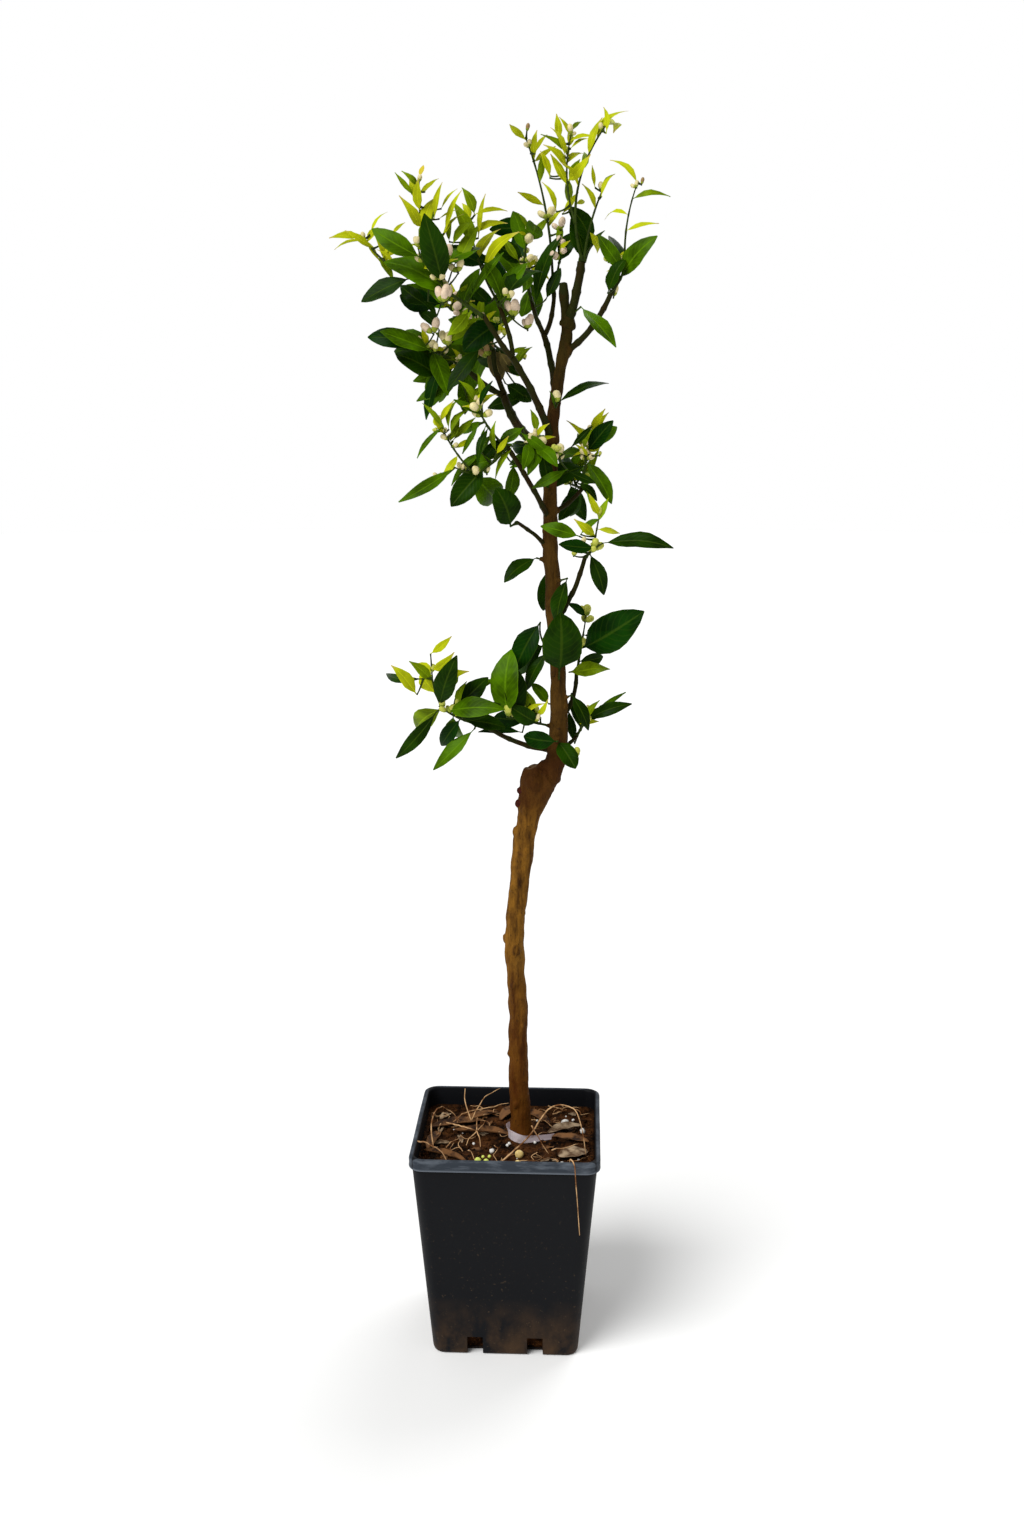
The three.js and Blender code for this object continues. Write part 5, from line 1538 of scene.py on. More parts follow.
class MakeCollar(bpy.types.Operator):
    """Make the pale strip that loops round the foot of the trunk"""
    bl_idname = "clementine.collar"
    bl_label = "Strip round the foot"

    def execute(self, context):
        pot = context.scene.clementine_pot
        soil = context.scene.clementine_soil
        foot = (pot.height - soil.below_rim) / MM - COLLAR["sunk"]
        reach = COLLAR["inner"] + COLLAR["thick"] / 2
        loop, tail = COLLAR["loop_steps"], COLLAR["tail_steps"]
        line = []
        for i in range(loop + 1):
            turn = lerp(COLLAR["start"], COLLAR["end"], i / loop)
            line.append((vec(math.cos(turn), math.sin(turn)) * reach, i / (loop + tail)))
        way = vec(-math.sin(COLLAR["end"]), math.cos(COLLAR["end"]))
        end = line[-1][0]
        for i in range(1, tail + 1):
            line.append((end + way * COLLAR["tail"] * i / tail, (loop + i) / (loop + tail)))
        bm = bmesh.new()
        ends = []
        for place, share in line:
            lean = 1 + 0.1 * math.sin(share * 9)
            sides = []
            for level, out in COLLAR_LEVELS:
                if level == 1:
                    out *= lean
                height = foot + level * COLLAR["tall"] * (1.12 - 0.5 * share) + 1.2 * math.sin(share * 7)
                spot = vec(*COLLAR["middle"]) + place * out
                sides.append(bm.verts.new(Vector((*spot, height)) * MM))
            if ends:
                for level in (0, 1):
                    bm.faces.new((ends[level], sides[level], sides[level + 1], ends[level + 1]))
            ends = sides
        bmesh.ops.solidify(bm, geom=bm.faces[:], thickness=COLLAR["thick"] * MM)
        bmesh.ops.recalc_face_normals(bm, faces=bm.faces)
        piece_from("foot_strip", bm, [strip_finish()], ["collar"], sharp=50)
        return {"FINISHED"}


# Knots and pruning scars on the trunk: height, direction in degrees from the right, size, height
KNOTS = [
    (262, 250, 3.4, 1.8), (318, 200, 3.0, 1.4), (352, 300, 2.6, 1.2), (396, 255, 3.2, 1.7),
    (438, 280, 5.0, 2.2), (447, 160, 4.6, 2.2), (476, 30, 3.2, 1.5), (505, 230, 3.4, 1.6),
    (541, 285, 3.8, 2.0), (566, 190, 4.0, 1.9), (590, 240, 4.2, 1.9), (613, 350, 2.8, 1.5),
    (623, 2, 3, 1.6), (676, 265, 3.2, 1.7), (706, 320, 2.8, 1.5), (738, 230, 3.0, 1.6),
    (771, 290, 2.8, 1.5), (812, 250, 2.8, 1.5), (858, 310, 2.8, 1.6), (884, 220, 3.0, 1.6),
    (922, 280, 3.0, 1.5), (1012, 250, 2.8, 1.5), (1044, 300, 2.6, 1.5),
]
# Swellings of the stump and of its joint with the trunk, then the dark scabs on its left side:
# x, y, height, size, and how tall each is as a share of that
SWELLINGS = ((38, 3, 637, 6.5, 1.1), (23, 1, 606, 10.5, 1.3), (28, -2, 622, 12, 1), (28, 3, 631, 10.5, 0.8))
SCABS = ((12.6, 0, 611, 3.4, 1.2), (11.2, 0, 597, 3.6, 1.1))
# The crease between the stump and the trunk runs down to the right on the front
CREASE = dict(height=(617, 638), x=(50, 35), deep=3.2, wide=1.7)


def trunk_finish(wood):
    """Brown bark with upright streaks, pale blotches and dark scars; darkest at the graft and up to
    the fork, where it turns green."""
    finish = Finish("trunk_bark", Roughness=0.72, Specular_IOR_Level=0.05)
    streaks = finish.noise(120, (1, 1, 0.16), detail=6, roughness=0.65)
    blotches = finish.noise(34, (1, 1, 0.6), detail=5)
    specks = finish.noise(420, (1, 1, 0.5), detail=3)
    height = finish.height()
    upper = finish.blend(finish.fade(streaks, 0.45, 0.7), srgb(72, 48, 12), srgb(36, 22, 5))
    upper = finish.blend(finish.fade(blotches, 0.5, 0.75, 0, 0.5), upper, srgb(98, 70, 26))
    graft = finish.times(finish.fade(height, 0.575, 0.6), finish.fade(height, 0.675, 0.645))
    finish.colour(tuple(wood.bark))
    finish.over(finish.fade(streaks, 0.42, 0.66), tuple(wood.dark_bark))
    finish.over(finish.fade(blotches, 0.54, 0.72, 0, 0.6), srgb(144, 104, 40))
    finish.over(finish.fade(height, 0.58, 0.64), upper)
    finish.over(finish.fade(height, 1.0, 1.12), tuple(wood.bough))
    finish.over(finish.fade(finish.noise(75, detail=5), 0.5, 0.68, 0, 0.55), srgb(58, 32, 9))
    finish.over(finish.fade(height, 0.46, 0.3, 0, 0.72), srgb(74, 35, 4))
    finish.over(finish.times(graft, 0.7), srgb(58, 28, 6))
    finish.over(finish.fade(specks, 0.6, 0.72, 0, 0.75), srgb(32, 20, 10))
    ridges = finish.maths("ADD", finish.times(streaks, 1.6), specks)
    finish.relief(ridges, 0.0012, 0.8)
    return finish.material


def dead_finish(name, colour, dark):
    """Dry, dead wood."""
    finish = Finish(name, Roughness=0.85, Specular_IOR_Level=0.1)
    rings = finish.noise(300, detail=5)
    finish.colour(finish.blend(finish.fade(rings, 0.4, 0.7), srgb(*colour), srgb(*dark)))
    finish.relief(rings, 0.0006, 0.7)
    return finish.material


def bough_finish(wood):
    """Smooth dark green bark with brown stretches and pale pores."""
    finish = Finish("bough_bark", Roughness=0.55, Specular_IOR_Level=0.05)
    stretches = finish.noise(60, (1, 1, 0.5), detail=4)
    pores = finish.noise(700, detail=2)
    finish.colour(tuple(wood.bough))
    finish.over(finish.fade(stretches, 0.42, 0.66), srgb(40, 26, 6))
    finish.over(finish.fade(pores, 0.64, 0.72, 0, 0.6), srgb(78, 70, 30))
    finish.relief(finish.noise(260, (1, 1, 0.4), detail=4), 0.0006, 0.6)
    return finish.material


# The relief of the bark: how much longer its ridges are than wide, and the pace of ridges and lumps
BARK = dict(long=0.14, ridges=0.3, lumps=0.06)
# How many rings the trunk has and how many sides the trunk and the stump have
TRUNK_RINGS = 170
TRUNK_SIDES = 24
# The boughs: the gap between rings, where the leaf joints start and how far apart they are, how
# much they swell and over what length, how far a bough wanders from its curve, the wander's pace
# and its seed, and the sides of a bough
BOUGH = dict(rings=2.2, first=14, apart=21, swell=0.2, over=2.2, wander=0.7, pace=0.06, seed=5, sides=14)


class MakeTrunk(bpy.types.Operator):
    """Make the trunk with its knots, the graft and the stump beside it, in rough bark"""
    bl_idname = "clementine.trunk"
    bl_label = "Trunk"

    def execute(self, context):
        wood = context.scene.clementine_wood
        grown = grown_tree()[0]
        path = grown["trunk"].path
        bm = bmesh.new()
        shares = [i / TRUNK_RINGS for i in range(TRUNK_RINGS + 1)]
        centres = [path.point(t) * MM for t in shares]
        grow_tube(bm, centres, [path.radius(t) * MM for t in shares], TRUNK_SIDES)
        self.add_stump(bm)
        self.add_knots(bm, path)
        self.add_bough_feet(bm, grown)
        bmesh.ops.recalc_face_normals(bm, faces=bm.faces)
        finishes = [trunk_finish(wood), dead_finish("cut_wood", (96, 74, 48), (44, 30, 18)),
                    dead_finish("scab", (66, 24, 14), (30, 10, 8))]
        piece = piece_from("trunk_wood", bm, finishes, ["trunk"])
        remesh = piece.modifiers.new("grain", "REMESH")
        remesh.mode = "VOXEL"
        remesh.voxel_size = wood.grain
        remesh.use_smooth_shade = True
        smooth = piece.modifiers.new("smooth", "SMOOTH")
        smooth.iterations = 3
        keep_modified(piece)
        self.roughen(piece, wood)
        return {"FINISHED"}

    def add_stump(self, bm):
        top = STUMP["top"]
        centres = [(top[0] + h * STUMP["lean"], top[1], top[2] + h) for r, h in STUMP["profile"]]
        grow_tube(bm, np.array(centres) * MM, [r * MM for r, h in STUMP["profile"]], TRUNK_SIDES)
        for x, y, z, size, tall in SWELLINGS + SCABS:
            self.add_ball(bm, (x, y, z), size, tall)

    def add_knots(self, bm, path):
        for height, turn, size, rise in KNOTS:
            t = path.place_at(height)
            way = Vector((math.cos(math.radians(turn)), math.sin(math.radians(turn)), 0))
            self.add_ball(bm, Vector(path.point(t)) + way * (path.radius(t) + rise - size * 0.75), size, 1.5)

    def add_ball(self, bm, place, size, tall):
        """A ball at a place in millimetres, stretched upright."""
        stretch = Matrix.Diagonal((size * MM, size * MM, size * MM * tall, 1))
        shape = Matrix.Translation(Vector(place) * MM) @ stretch
        bmesh.ops.create_icosphere(bm, subdivisions=2, radius=1, matrix=shape)

    def add_bough_feet(self, bm, grown):
        """A swelling where each bough and stem leaves the trunk."""
        for row in LIMBS + SPRAYS:
            if row["on"] != "trunk":
                continue
            path = grown[row["name"]].path
            clear = grown["trunk"].path.radius(grown["trunk"].path.place_at(row["at"]))
            length = np.linalg.norm(path.reach)
            ends = [min(1, (clear + more) / length) for more in (-2, 1.5, 5)]
            radius = path.radius(0)
            centres = [path.point(0) * MM] + [path.point(t) * MM for t in ends]
            grow_tube(bm, centres, [radius * k * MM for k in (1.9, 1.9, 1.5, 1.05)], 12)

    def roughen(self, piece, wood):
        """Moves the remeshed bark out and in, in long upright ridges, and sinks the graft's crease."""
        bm = bmesh.new()
        bm.from_mesh(piece.data)
        bm.normal_update()
        low, high = CREASE["height"]
        stump_top = STUMP["top"][2]
        for v in bm.verts:
            spot = v.co / MM
            stretched = Vector((spot.x, spot.y, spot.z * BARK["long"])) * BARK["ridges"]
            push = wood.relief * noise.fractal(stretched, 0.8, 2, 4)
            push += wood.lumps * noise.noise(spot * BARK["lumps"])
            if low < spot.z < high and spot.y < 6:
                level = (spot.z - low) / (high - low)
                near = math.exp(-((spot.x - lerp(*CREASE["x"], level)) / CREASE["wide"])**2)
                push -= CREASE["deep"] * MM * near * (1 - abs(2 * level - 1))**0.5
            v.co += v.normal * push
        for f in bm.faces:
            middle = f.calc_center_median() / MM
            on_stump = math.hypot(middle.x - STUMP["top"][0], middle.y - STUMP["top"][1]) < 10.5
            if on_stump and middle.z > stump_top - 1 and f.normal.z > 0.8 and middle.x < 30:
                f.material_index = 1
            if any((middle - Vector(scab[:3])).length < scab[3] * 1.25 for scab in SCABS):
                f.material_index = 2
        bm.to_mesh(piece.data)
        bm.free()


class MakeBoughs(bpy.types.Operator):
    """Make the boughs, each one tapering limb with the swellings of its old leaf joints"""
    bl_idname = "clementine.boughs"
    bl_label = "Boughs"

    def execute(self, context):
        wood = context.scene.clementine_wood
        grown = grown_tree()[0]
        noise.seed_set(BOUGH["seed"])
        bm = bmesh.new()
        for index, row in enumerate(LIMBS):
            path = grown[row["name"]].path
            length = np.linalg.norm(path.reach)
            steps = max(12, int(length / BOUGH["rings"]))
            joints = np.arange(BOUGH["first"] + 5 * (index % 3), length - 4, BOUGH["apart"])
            centres = []
            radii = []
            for i in range(steps + 1):
                t = i / steps
                swell = 1 + BOUGH["swell"] * np.exp(-((t * length - joints) / BOUGH["over"])**2).sum()
                wander = noise.noise_vector(Vector((index * 3.1, 0, t * length * BOUGH["pace"])))
                aside = np.array(wander * BOUGH["wander"]) * math.sin(math.pi * t)
                centres.append((path.point(t) + aside) * MM)
                radii.append(path.radius(t) * swell * MM)
            grow_tube(bm, centres, radii, BOUGH["sides"])
        bmesh.ops.recalc_face_normals(bm, faces=bm.faces)
        piece_from("bough_wood", bm, [bough_finish(wood)], [row["name"] for row in LIMBS])
        return {"FINISHED"}


# Each tone's face, its underside and how rough it is. Young and gold are the new blades' own
# light greens, made brighter still as painted light for the light that shines through them.
LEAF_TONES = {
    "dark": dict(face=srgb(24, 52, 0), under=srgb(54, 82, 4), rough=0.34),
    "blue": dict(face=srgb(13, 48, 2), under=srgb(42, 78, 10), rough=0.34),
    "mid": dict(face=srgb(68, 104, 0), under=srgb(98, 126, 8), rough=0.36),
    "fresh": dict(face=srgb(116, 142, 6), under=srgb(146, 164, 24), rough=0.4),
    "young": dict(face=srgb(172, 180, 16), under=srgb(190, 196, 40), rough=0.44),
    "dull": dict(face=srgb(122, 108, 62), under=srgb(146, 130, 82), rough=0.6),
    "gold": dict(face=srgb(206, 188, 54), under=srgb(216, 200, 90), rough=0.46),
}
# The tones whose blades are light and thin, and those of all new growth; the length below which a
# leaf of new growth has the small blade; and the height below which the crown is darker, with green
# buds
LIGHT_TONES = ("young", "gold")
NEW_TONES = ("young", "fresh", "gold")
SMALL_BELOW = 42
GREEN_BELOW = 940
USUAL_TONES = ("mid", "dark", "mid", "mid", "blue", "mid", "fresh")
LOW_TONES = ("dark", "blue", "dark", "mid", "dark", "mid", "fresh")
YOUNG_TONES = ("young", "young", "fresh", "young", "gold")

# The outline of a leaf: half its width along it, as a share of the widest place
OUTLINE = ((0, 0.07, 0.13, 0.24, 0.36, 0.48, 0.6, 0.72, 0.84, 0.93, 1),
           (0, 0.03, 0.24, 0.62, 0.88, 1, 0.97, 0.83, 0.56, 0.29, 0.03))
ROUND_OUTLINE = (OUTLINE[0], (0, 0.04, 0.3, 0.74, 0.94, 1, 1, 0.93, 0.74, 0.47, 0.04))
YOUNG_OUTLINE = ((0, 0.09, 0.2, 0.34, 0.48, 0.64, 0.8, 0.92, 1),
                 (0, 0.1, 0.52, 0.9, 1, 0.84, 0.5, 0.2, 0.02))
# Where the rows of points stand along a blade, and half a stalk's width
STATIONS = (0, 0.08, 0.15, 0.26, 0.4, 0.54, 0.68, 0.81, 0.92, 1)
YOUNG_STATIONS = (0, 0.09, 0.2, 0.38, 0.58, 0.78, 0.92, 1)
STALK_HALF = 0.65


def leaf_template(stations, columns):
    """A flat closed blade: across, along, and 1 on its face or -1 under it. Its edges are shared."""
    bm = bmesh.new()
    rows = len(stations) - 1
    bmesh.ops.create_grid(bm, x_segments=columns, y_segments=rows, size=1)
    for v in bm.verts:
        v.co.y = stations[round((v.co.y + 1) / 2 * rows)]
    bmesh.ops.solidify(bm, geom=bm.faces[:], thickness=0.1)
    middle = sum(v.co.z for v in bm.verts) / len(bm.verts)
    for v in bm.verts:
        on_edge = abs(v.co.x) > 0.999
        v.co.z = 0 if on_edge else math.copysign(1, v.co.z - middle)
    bmesh.ops.remove_doubles(bm, verts=bm.verts[:], dist=1e-4)
    bmesh.ops.recalc_face_normals(bm, faces=bm.faces)
    for f in bm.faces:
        f.material_index = 1 if f.calc_center_median().z < -0.2 else 0
    return Template(bm, uv=lambda places: np.column_stack([(places[:, 0] + 1) / 2, places[:, 1]]))


def leaf_places(leaf, template, crown, chance):
    """The points of one leaf: folded on its rib, waved at its edges and bent along its length."""
    w, s, side = template.places.T
    young = tone_of(leaf) in YOUNG_TONES
    shape = np.interp(s, *(YOUNG_OUTLINE if young else OUTLINE))
    if not young:
        broad = np.clip((2 * leaf.half / leaf.length - 0.34) / 0.22, 0, 1)
        shape = lerp(shape, np.interp(s, *ROUND_OUTLINE), broad)
    half = np.maximum(leaf.half * shape, STALK_HALF * (0.7 if young else 1))
    share = w * half / leaf.half
    thick = crown.thickness / MM * (0.75 if young else 1) * (1 - 0.65 * np.abs(w)) * (1 - 0.5 * s)
    wave = half * np.sin(chance.uniform(9, 15) * s + chance.uniform(0, 6) + 0.9 * w) * w * w
    wave *= crown.wave * (0.35 if young else 1)
    wave += crown.bulge * half * (np.abs(w) - w * w) * 4
    curl = chance.uniform(0.2, 1.1) if young else chance.uniform(-0.1, 0.6)
    tip = curl * np.maximum(s - 0.45, 0)**2 * leaf.length
    sway = chance.uniform(-0.3, 0.3) if young else chance.uniform(-0.12, 0.12)
    along = np.where(s > 0, s, -SUNK / leaf.length)
    points = leaf.points(along, share, side * thick / 2 + wave - tip)
    aside = sway * leaf.length * (s - s * s) * 1.4
    return points + aside[:, None] * leaf.across


def leaf_finish(name, colour, rough, lighter, veined, shade):
    """Waxy blade with a pale rib, faint veins on the large ones and beige tips on the young ones,
    drawn on its own map."""
    finish = Finish(name, Roughness=rough, Specular_IOR_Level=0.03)
    spot = finish.add("UVMap", uv_map="blade").outputs["UV"]
    parts = finish.add("SeparateXYZ", {"Vector": spot})
    off = finish.maths("ABSOLUTE", finish.maths("SUBTRACT", parts.outputs["X"], 0.5))
    rib = finish.fade(off, 0.05, 0.015)
    rise = finish.maths("SUBTRACT", parts.outputs["Y"], finish.times(off, 0.55))
    veins = finish.maths("SINE", finish.times(rise, 62.0))
    finish.colour(tuple(c * 1.15 for c in colour))
    finish.over(finish.fade(finish.noise(34, detail=3), 0.38, 0.62), tuple(c * shade for c in colour))
    finish.over(finish.fade(veins, 0.7, 1, 0, 0.14 * veined), lighter)
    finish.over(finish.fade(off, 0.455, 0.5, 0, 0.4), lighter)
    if not veined:
        finish.over(finish.fade(parts.outputs["Y"], 0.84, 1, 0, 0.75), srgb(186, 152, 92))
    finish.over(finish.times(rib, 0.5), lighter)
    groove = finish.fade(off, 0.06, 0.0, 0, -1)
    height = finish.maths("ADD", finish.times(veins, 0.12 * veined), groove)
    finish.relief(height, 0.0004, 0.5)
    return finish.material


def tone_of(leaf):
    row = leaf.row
    if "tone" in row:
        return row["tone"]
    if "last" in row and leaf.order == len(row["leaves"]) - 1:
        return row["last"]
    tones = LOW_TONES if leaf.root[2] < GREEN_BELOW else USUAL_TONES
    if row.get("young") or row.get("fresh"):
        tones = YOUNG_TONES[:4]
    return tones[leaf.order % len(tones)]


class MakeTwigs(bpy.types.Operator):
    """Make the green twigs, joined in one mesh, and the stalks of the buds, joined in another"""
    bl_idname = "clementine.twigs"
    bl_label = "Twigs"

    def execute(self, context):
        wood = context.scene.clementine_wood
        grown, leaves, buds = grown_tree()
        template = self.template(18, 7)
        stems = [part for part in grown.values() if part.mass]
        copies = []
        for part in stems:
            joints = [leaf.root for leaf in leaves if leaf.row["name"] == part.name]
            copies.append(self.stem(part.path, np.linalg.norm(part.path.reach), joints, template))
        short = self.template(3, 5)
        stalks = [self.stalk(bud, short) for bud in buds]
        finish = Finish("twig_bark", Roughness=0.5, Specular_IOR_Level=0.08)
        patches = finish.fade(finish.noise(90, detail=3), 0.42, 0.62)
        finish.colour(finish.blend(patches, tuple(wood.twig), srgb(34, 46, 8)))
        finish.relief(finish.noise(500, (1, 1, 0.3), detail=3), 0.0003, 0.5)
        piece_of_copies("twigs", template, copies, [finish.material], [part.mass for part in stems])
        piece_of_copies("bud_stalks", short, stalks, [finish.material], masses_of(buds))
        return {"FINISHED"}

    def template(self, rings, sides):
        """A unit bar with rings along it."""
        bm = bmesh.new()
        grow_tube(bm, [(0, 0, i / rings) for i in range(rings + 1)], [1] * (rings + 1), sides)
        bmesh.ops.recalc_face_normals(bm, faces=bm.faces)
        return Template(bm)

    def stem(self, path, length, joints, template):
        """A stem that is thicker at its foot and at the joints that carry leaves."""
        x, y, t = template.places.T
        centres = np.array([path.point(share) for share in t])
        ahead = np.array([path.point(min(share + 0.01, 1)) for share in t])
        behind = np.array([path.point(max(share - 0.01, 0)) for share in t])
        along = (ahead - behind) / np.linalg.norm(ahead - behind, axis=1)[:, None]
        chord = unit(path.point(1) - path.point(0))
        side = vec(0, 0, 1) if abs(chord[1]) > 0.8 else vec(0, 1, 0)
        across = side - along * (along @ side)[:, None]
        across /= np.linalg.norm(across, axis=1)[:, None]
        third = np.cross(across, along)
        radius = lerp(path.ends[0], path.ends[1], t)
        radius *= 1 + 0.7 * np.exp(-t * length / 2.5)
        for joint in joints:
            gap = np.linalg.norm(centres - joint, axis=1)
            radius *= 1 + 0.35 * np.exp(-(gap / 1.6)**2)
        return centres + across * (x * radius)[:, None] + third * (y * radius)[:, None]

    def stalk(self, bud, template):
        x, y, t = template.places.T
        radius = lerp(0.75, 0.95, t)
        return (bud.root + t[:, None] * bud.along * bud.length * 0.3
                + (x * radius)[:, None] * bud.across + (y * radius)[:, None] * bud.third)


class MakeLeaves(bpy.types.Operator):
    """Make the leaves, joined in one mesh for each of their greens and each size of blade"""
    bl_idname = "clementine.leaves"
    bl_label = "Leaves"

    def execute(self, context):
        crown = context.scene.clementine_crown
        leaves = grown_tree()[1]
        chance = random.Random(3)
        templates = {False: leaf_template(STATIONS, 4), True: leaf_template(YOUNG_STATIONS, 4)}
        for tone, look in LEAF_TONES.items():
            lighter = tuple(c * 1.7 + more for c, more in zip(look["face"], (0.035, 0.035, 0.004)))
            light = tone in LIGHT_TONES
            veined, shade = (0, 0.74) if light else (1, 0.45)
            finishes = [
                leaf_finish(f"leaf_{tone}", look["face"], look["rough"], lighter, veined, shade),
                leaf_finish(f"leaf_{tone}_under", look["under"], look["rough"] + 0.25, look["under"], veined,
                            shade),
            ]
            for small, template in templates.items():
                mine = [leaf for leaf in leaves if tone_of(leaf) == tone and self.is_small(leaf) == small]
                if not mine:
                    continue
                name = f"leaves_{tone}_small" if small else f"leaves_{tone}"
                copies = [leaf_places(leaf, template, crown, chance) for leaf in mine]
                piece_of_copies(name, template, copies, finishes, masses_of(mine), sharp=60)
        return {"FINISHED"}

    def is_small(self, leaf):
        return leaf.length < SMALL_BELOW and tone_of(leaf) in NEW_TONES


BUD_TONES = {
    "cream": srgb(226, 212, 156),
    "pink": srgb(226, 202, 174),
    "green": srgb(190, 194, 78),
    "dry": srgb(150, 122, 74),
}
# The profiles of a bud's petals and of its cup: radius and height as shares of the bud's own
PETALS = ((0, 0.3), (0.5, 0.33), (0.84, 0.46), (1, 0.62), (0.93, 0.78), (0.62, 0.93), (0, 1))
CALYX = ((0, 0.16), (0.3, 0.18), (0.66, 0.28), (0.88, 0.42), (0.74, 0.45), (0, 0.4))


def turned_template(profile, sides, ribs=0.0):
    """A closed turning of a profile of radius and height, with every other rib standing out."""
    bm = bmesh.new()
    line = [bm.verts.new((radius, 0, height)) for radius, height in profile]
    edges = [bm.edges.new(pair) for pair in zip(line, line[1:])]
    bmesh.ops.spin(bm, geom=line + edges, cent=(0, 0, 0), axis=(0, 0, 1), dvec=(0, 0, 0),
                   angle=2 * math.pi, steps=sides, use_merge=True, use_duplicate=False)
    bmesh.ops.remove_doubles(bm, verts=bm.verts[:], dist=1e-4)
    for v in bm.verts:
        stand = 1 + ribs * math.cos(sides / 2 * math.atan2(v.co.y, v.co.x))
        v.co.x *= stand
        v.co.y *= stand
    bmesh.ops.recalc_face_normals(bm, faces=bm.faces)
    return Template(bm)


def bud_places(bud, template):
    x, y, t = template.places.T
    small = 0.7 if bud.row.get("young") or bud.row.get("fresh") else 1
    radius = min(bud.radius, 0.33 * bud.length) * 0.92 * small
    length = bud.length * (0.3 + 0.7 * small)
    return (bud.root + t[:, None] * bud.along * length
            + (x * radius)[:, None] * bud.across + (y * radius)[:, None] * bud.third)


class MakeBuds(bpy.types.Operator):
    """Make the closed flower buds: the petals in their tones, and the green cups under them"""
    bl_idname = "clementine.buds"
    bl_label = "Buds"

    def execute(self, context):
        crown = context.scene.clementine_crown
        buds = grown_tree()[2]
        petals = turned_template(PETALS, 10, 0.05)
        calyx = turned_template(CALYX, 8)
        for tone, colour in BUD_TONES.items():
            mine = [bud for bud in buds if self.tone(bud) == tone]
            if not mine:
                continue
            finish = Finish("petal_" + tone, Roughness=0.45, Specular_IOR_Level=0.25)
            finish.colour(colour)
            finish.over(finish.fade(finish.noise(160, detail=3), 0.4, 0.7), tuple(c * 0.72 for c in colour))
            finish.relief(finish.noise(420, (1, 1, 0.4), detail=3), 0.0003, 0.4)
            copies = [bud_places(bud, petals) for bud in mine]
            piece_of_copies("buds_" + tone, petals, copies, [finish.material], masses_of(mine))
        finish = Finish("calyx", Roughness=0.5, Specular_IOR_Level=0.1)
        finish.colour(tuple(crown.calyx))
        finish.over(finish.fade(finish.noise(260, detail=3), 0.4, 0.7), srgb(98, 122, 34))
        cups = [bud_places(bud, calyx) for bud in buds]
        piece_of_copies("bud_cups", calyx, cups, [finish.material], masses_of(buds))
        return {"FINISHED"}

    def tone(self, bud):
        """As listed, or else green low in the crown, where the buds are younger."""
        usual = "pink" if bud.row.get("bloom") else "green" if bud.root[2] < GREEN_BELOW else "cream"
        return bud.row.get("tone", usual)


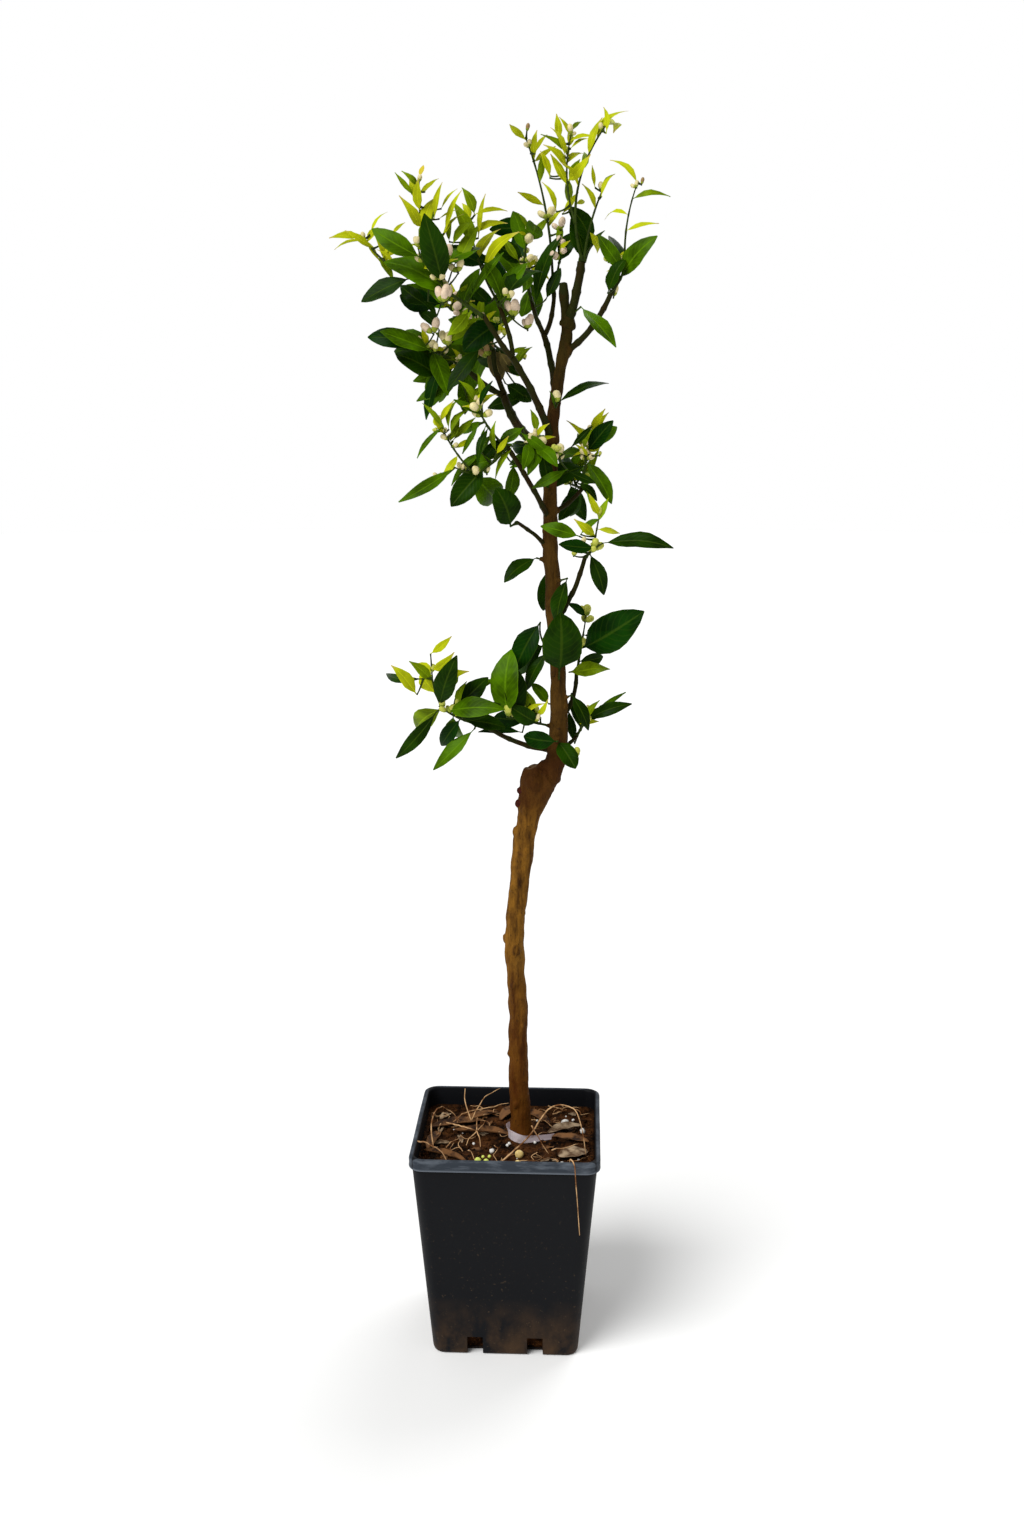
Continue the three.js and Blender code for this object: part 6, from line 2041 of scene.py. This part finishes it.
class MakeStage(bpy.types.Operator):
    """Make the pale floor, the soft studio lights and the camera of the photograph"""
    bl_idname = "clementine.stage"
    bl_label = "Stage"

    def execute(self, context):
        stage = context.scene.clementine_stage
        self.make_floor(stage)
        self.make_light("key", (-1.7, -1.9, 3.0), (0, 0, 0.4), stage.key)
        self.make_light("rim", (1.2, 2.2, 2.6), (0, 0, 0.4), stage.rim)
        self.make_world(context, stage)
        context.scene.view_settings.view_transform = "Standard"
        self.make_camera(context, stage)
        return {"FINISHED"}

    def make_floor(self, stage):
        bm = bmesh.new()
        bmesh.ops.create_circle(bm, cap_ends=True, segments=96, radius=14)
        bmesh.ops.translate(bm, vec=(0, 0, -0.0005), verts=bm.verts)
        mesh = mesh_from("floor", bm)
        finish = Finish("studio_floor", Roughness=0.9)
        finish.colour(tuple(stage.floor))
        mesh.materials.append(finish.material)
        floor = bpy.data.objects.new("floor", mesh)
        bpy.context.scene.collection.objects.link(floor)

    def make_light(self, name, place, aim, strength):
        """A broad, far light, even over the whole floor."""
        light = bpy.data.lights.new(name, "SUN")
        light.angle = math.radians(40)
        light.energy = strength
        lamp = bpy.data.objects.new(name, light)
        lamp.location = place
        way = Vector(aim) - Vector(place)
        lamp.rotation_euler = way.to_track_quat("-Z", "Y").to_euler()
        bpy.context.scene.collection.objects.link(lamp)

    def make_world(self, context, stage):
        """White round the stage, and a softer light from it."""
        world = bpy.data.worlds.new("studio")
        world.use_nodes = True
        tree = world.node_tree
        back = tree.nodes["Background"]
        back.inputs["Color"].default_value = (1, 1, 1, 1)
        seen = tree.nodes.new("ShaderNodeLightPath").outputs["Is Camera Ray"]
        spread = tree.nodes.new("ShaderNodeMapRange")
        spread.inputs["To Min"].default_value = stage.spread
        spread.inputs["To Max"].default_value = 1.0
        tree.links.new(seen, spread.inputs["Value"])
        tree.links.new(spread.outputs["Result"], back.inputs["Strength"])
        context.scene.world = world

    def make_camera(self, context, stage):
        ahead = Vector((-math.sin(stage.azimuth), math.cos(stage.azimuth), 0))
        right = Vector((math.cos(stage.azimuth), math.sin(stage.azimuth), 0))
        data = bpy.data.cameras.new("camera")
        data.sensor_width = 36
        data.lens = stage.lens
        camera = bpy.data.objects.new("camera", data)
        camera.location = -ahead * stage.distance + right * stage.aside + Vector((0, 0, stage.height))
        camera.rotation_euler = (math.pi / 2 - stage.pitch, 0, stage.azimuth)
        context.scene.collection.objects.link(camera)
        context.scene.camera = camera


OPERATORS = (MakePot, MakeSoil, MakeLitter, MakeCollar, MakeTrunk, MakeBoughs, MakeTwigs, MakeLeaves,
             MakeBuds, MakeStage)


class ClementinePanel(bpy.types.Panel):
    """The tree's operators and their settings, in the sidebar of the 3D view"""
    bl_idname = "VIEW3D_PT_clementine"
    bl_label = "Potted clementine tree"
    bl_space_type = "VIEW_3D"
    bl_region_type = "UI"
    bl_category = "Clementine"

    def draw(self, context):
        for operator in OPERATORS:
            self.layout.operator(operator.bl_idname)
        for name, kind in SETTINGS.items():
            box = self.layout.box()
            for setting in kind.__annotations__:
                box.prop(getattr(context.scene, PREFIX + name), setting)


def register():
    for name, group in SETTINGS.items():
        bpy.utils.register_class(group)
        setattr(bpy.types.Scene, PREFIX + name, PointerProperty(type=group))
    for kind in (*OPERATORS, ClementinePanel):
        bpy.utils.register_class(kind)


def unregister():
    for kind in reversed((*OPERATORS, ClementinePanel)):
        bpy.utils.unregister_class(kind)
    for name, group in SETTINGS.items():
        delattr(bpy.types.Scene, PREFIX + name)
        bpy.utils.unregister_class(group)


def main():
    register()
    bpy.ops.clementine.pot()
    bpy.ops.clementine.soil()
    bpy.ops.clementine.litter()
    bpy.ops.clementine.collar()
    bpy.ops.clementine.trunk()
    bpy.ops.clementine.boughs()
    bpy.ops.clementine.twigs()
    bpy.ops.clementine.leaves()
    bpy.ops.clementine.buds()
    bpy.ops.clementine.stage()


if __name__ == "__main__":
    main()
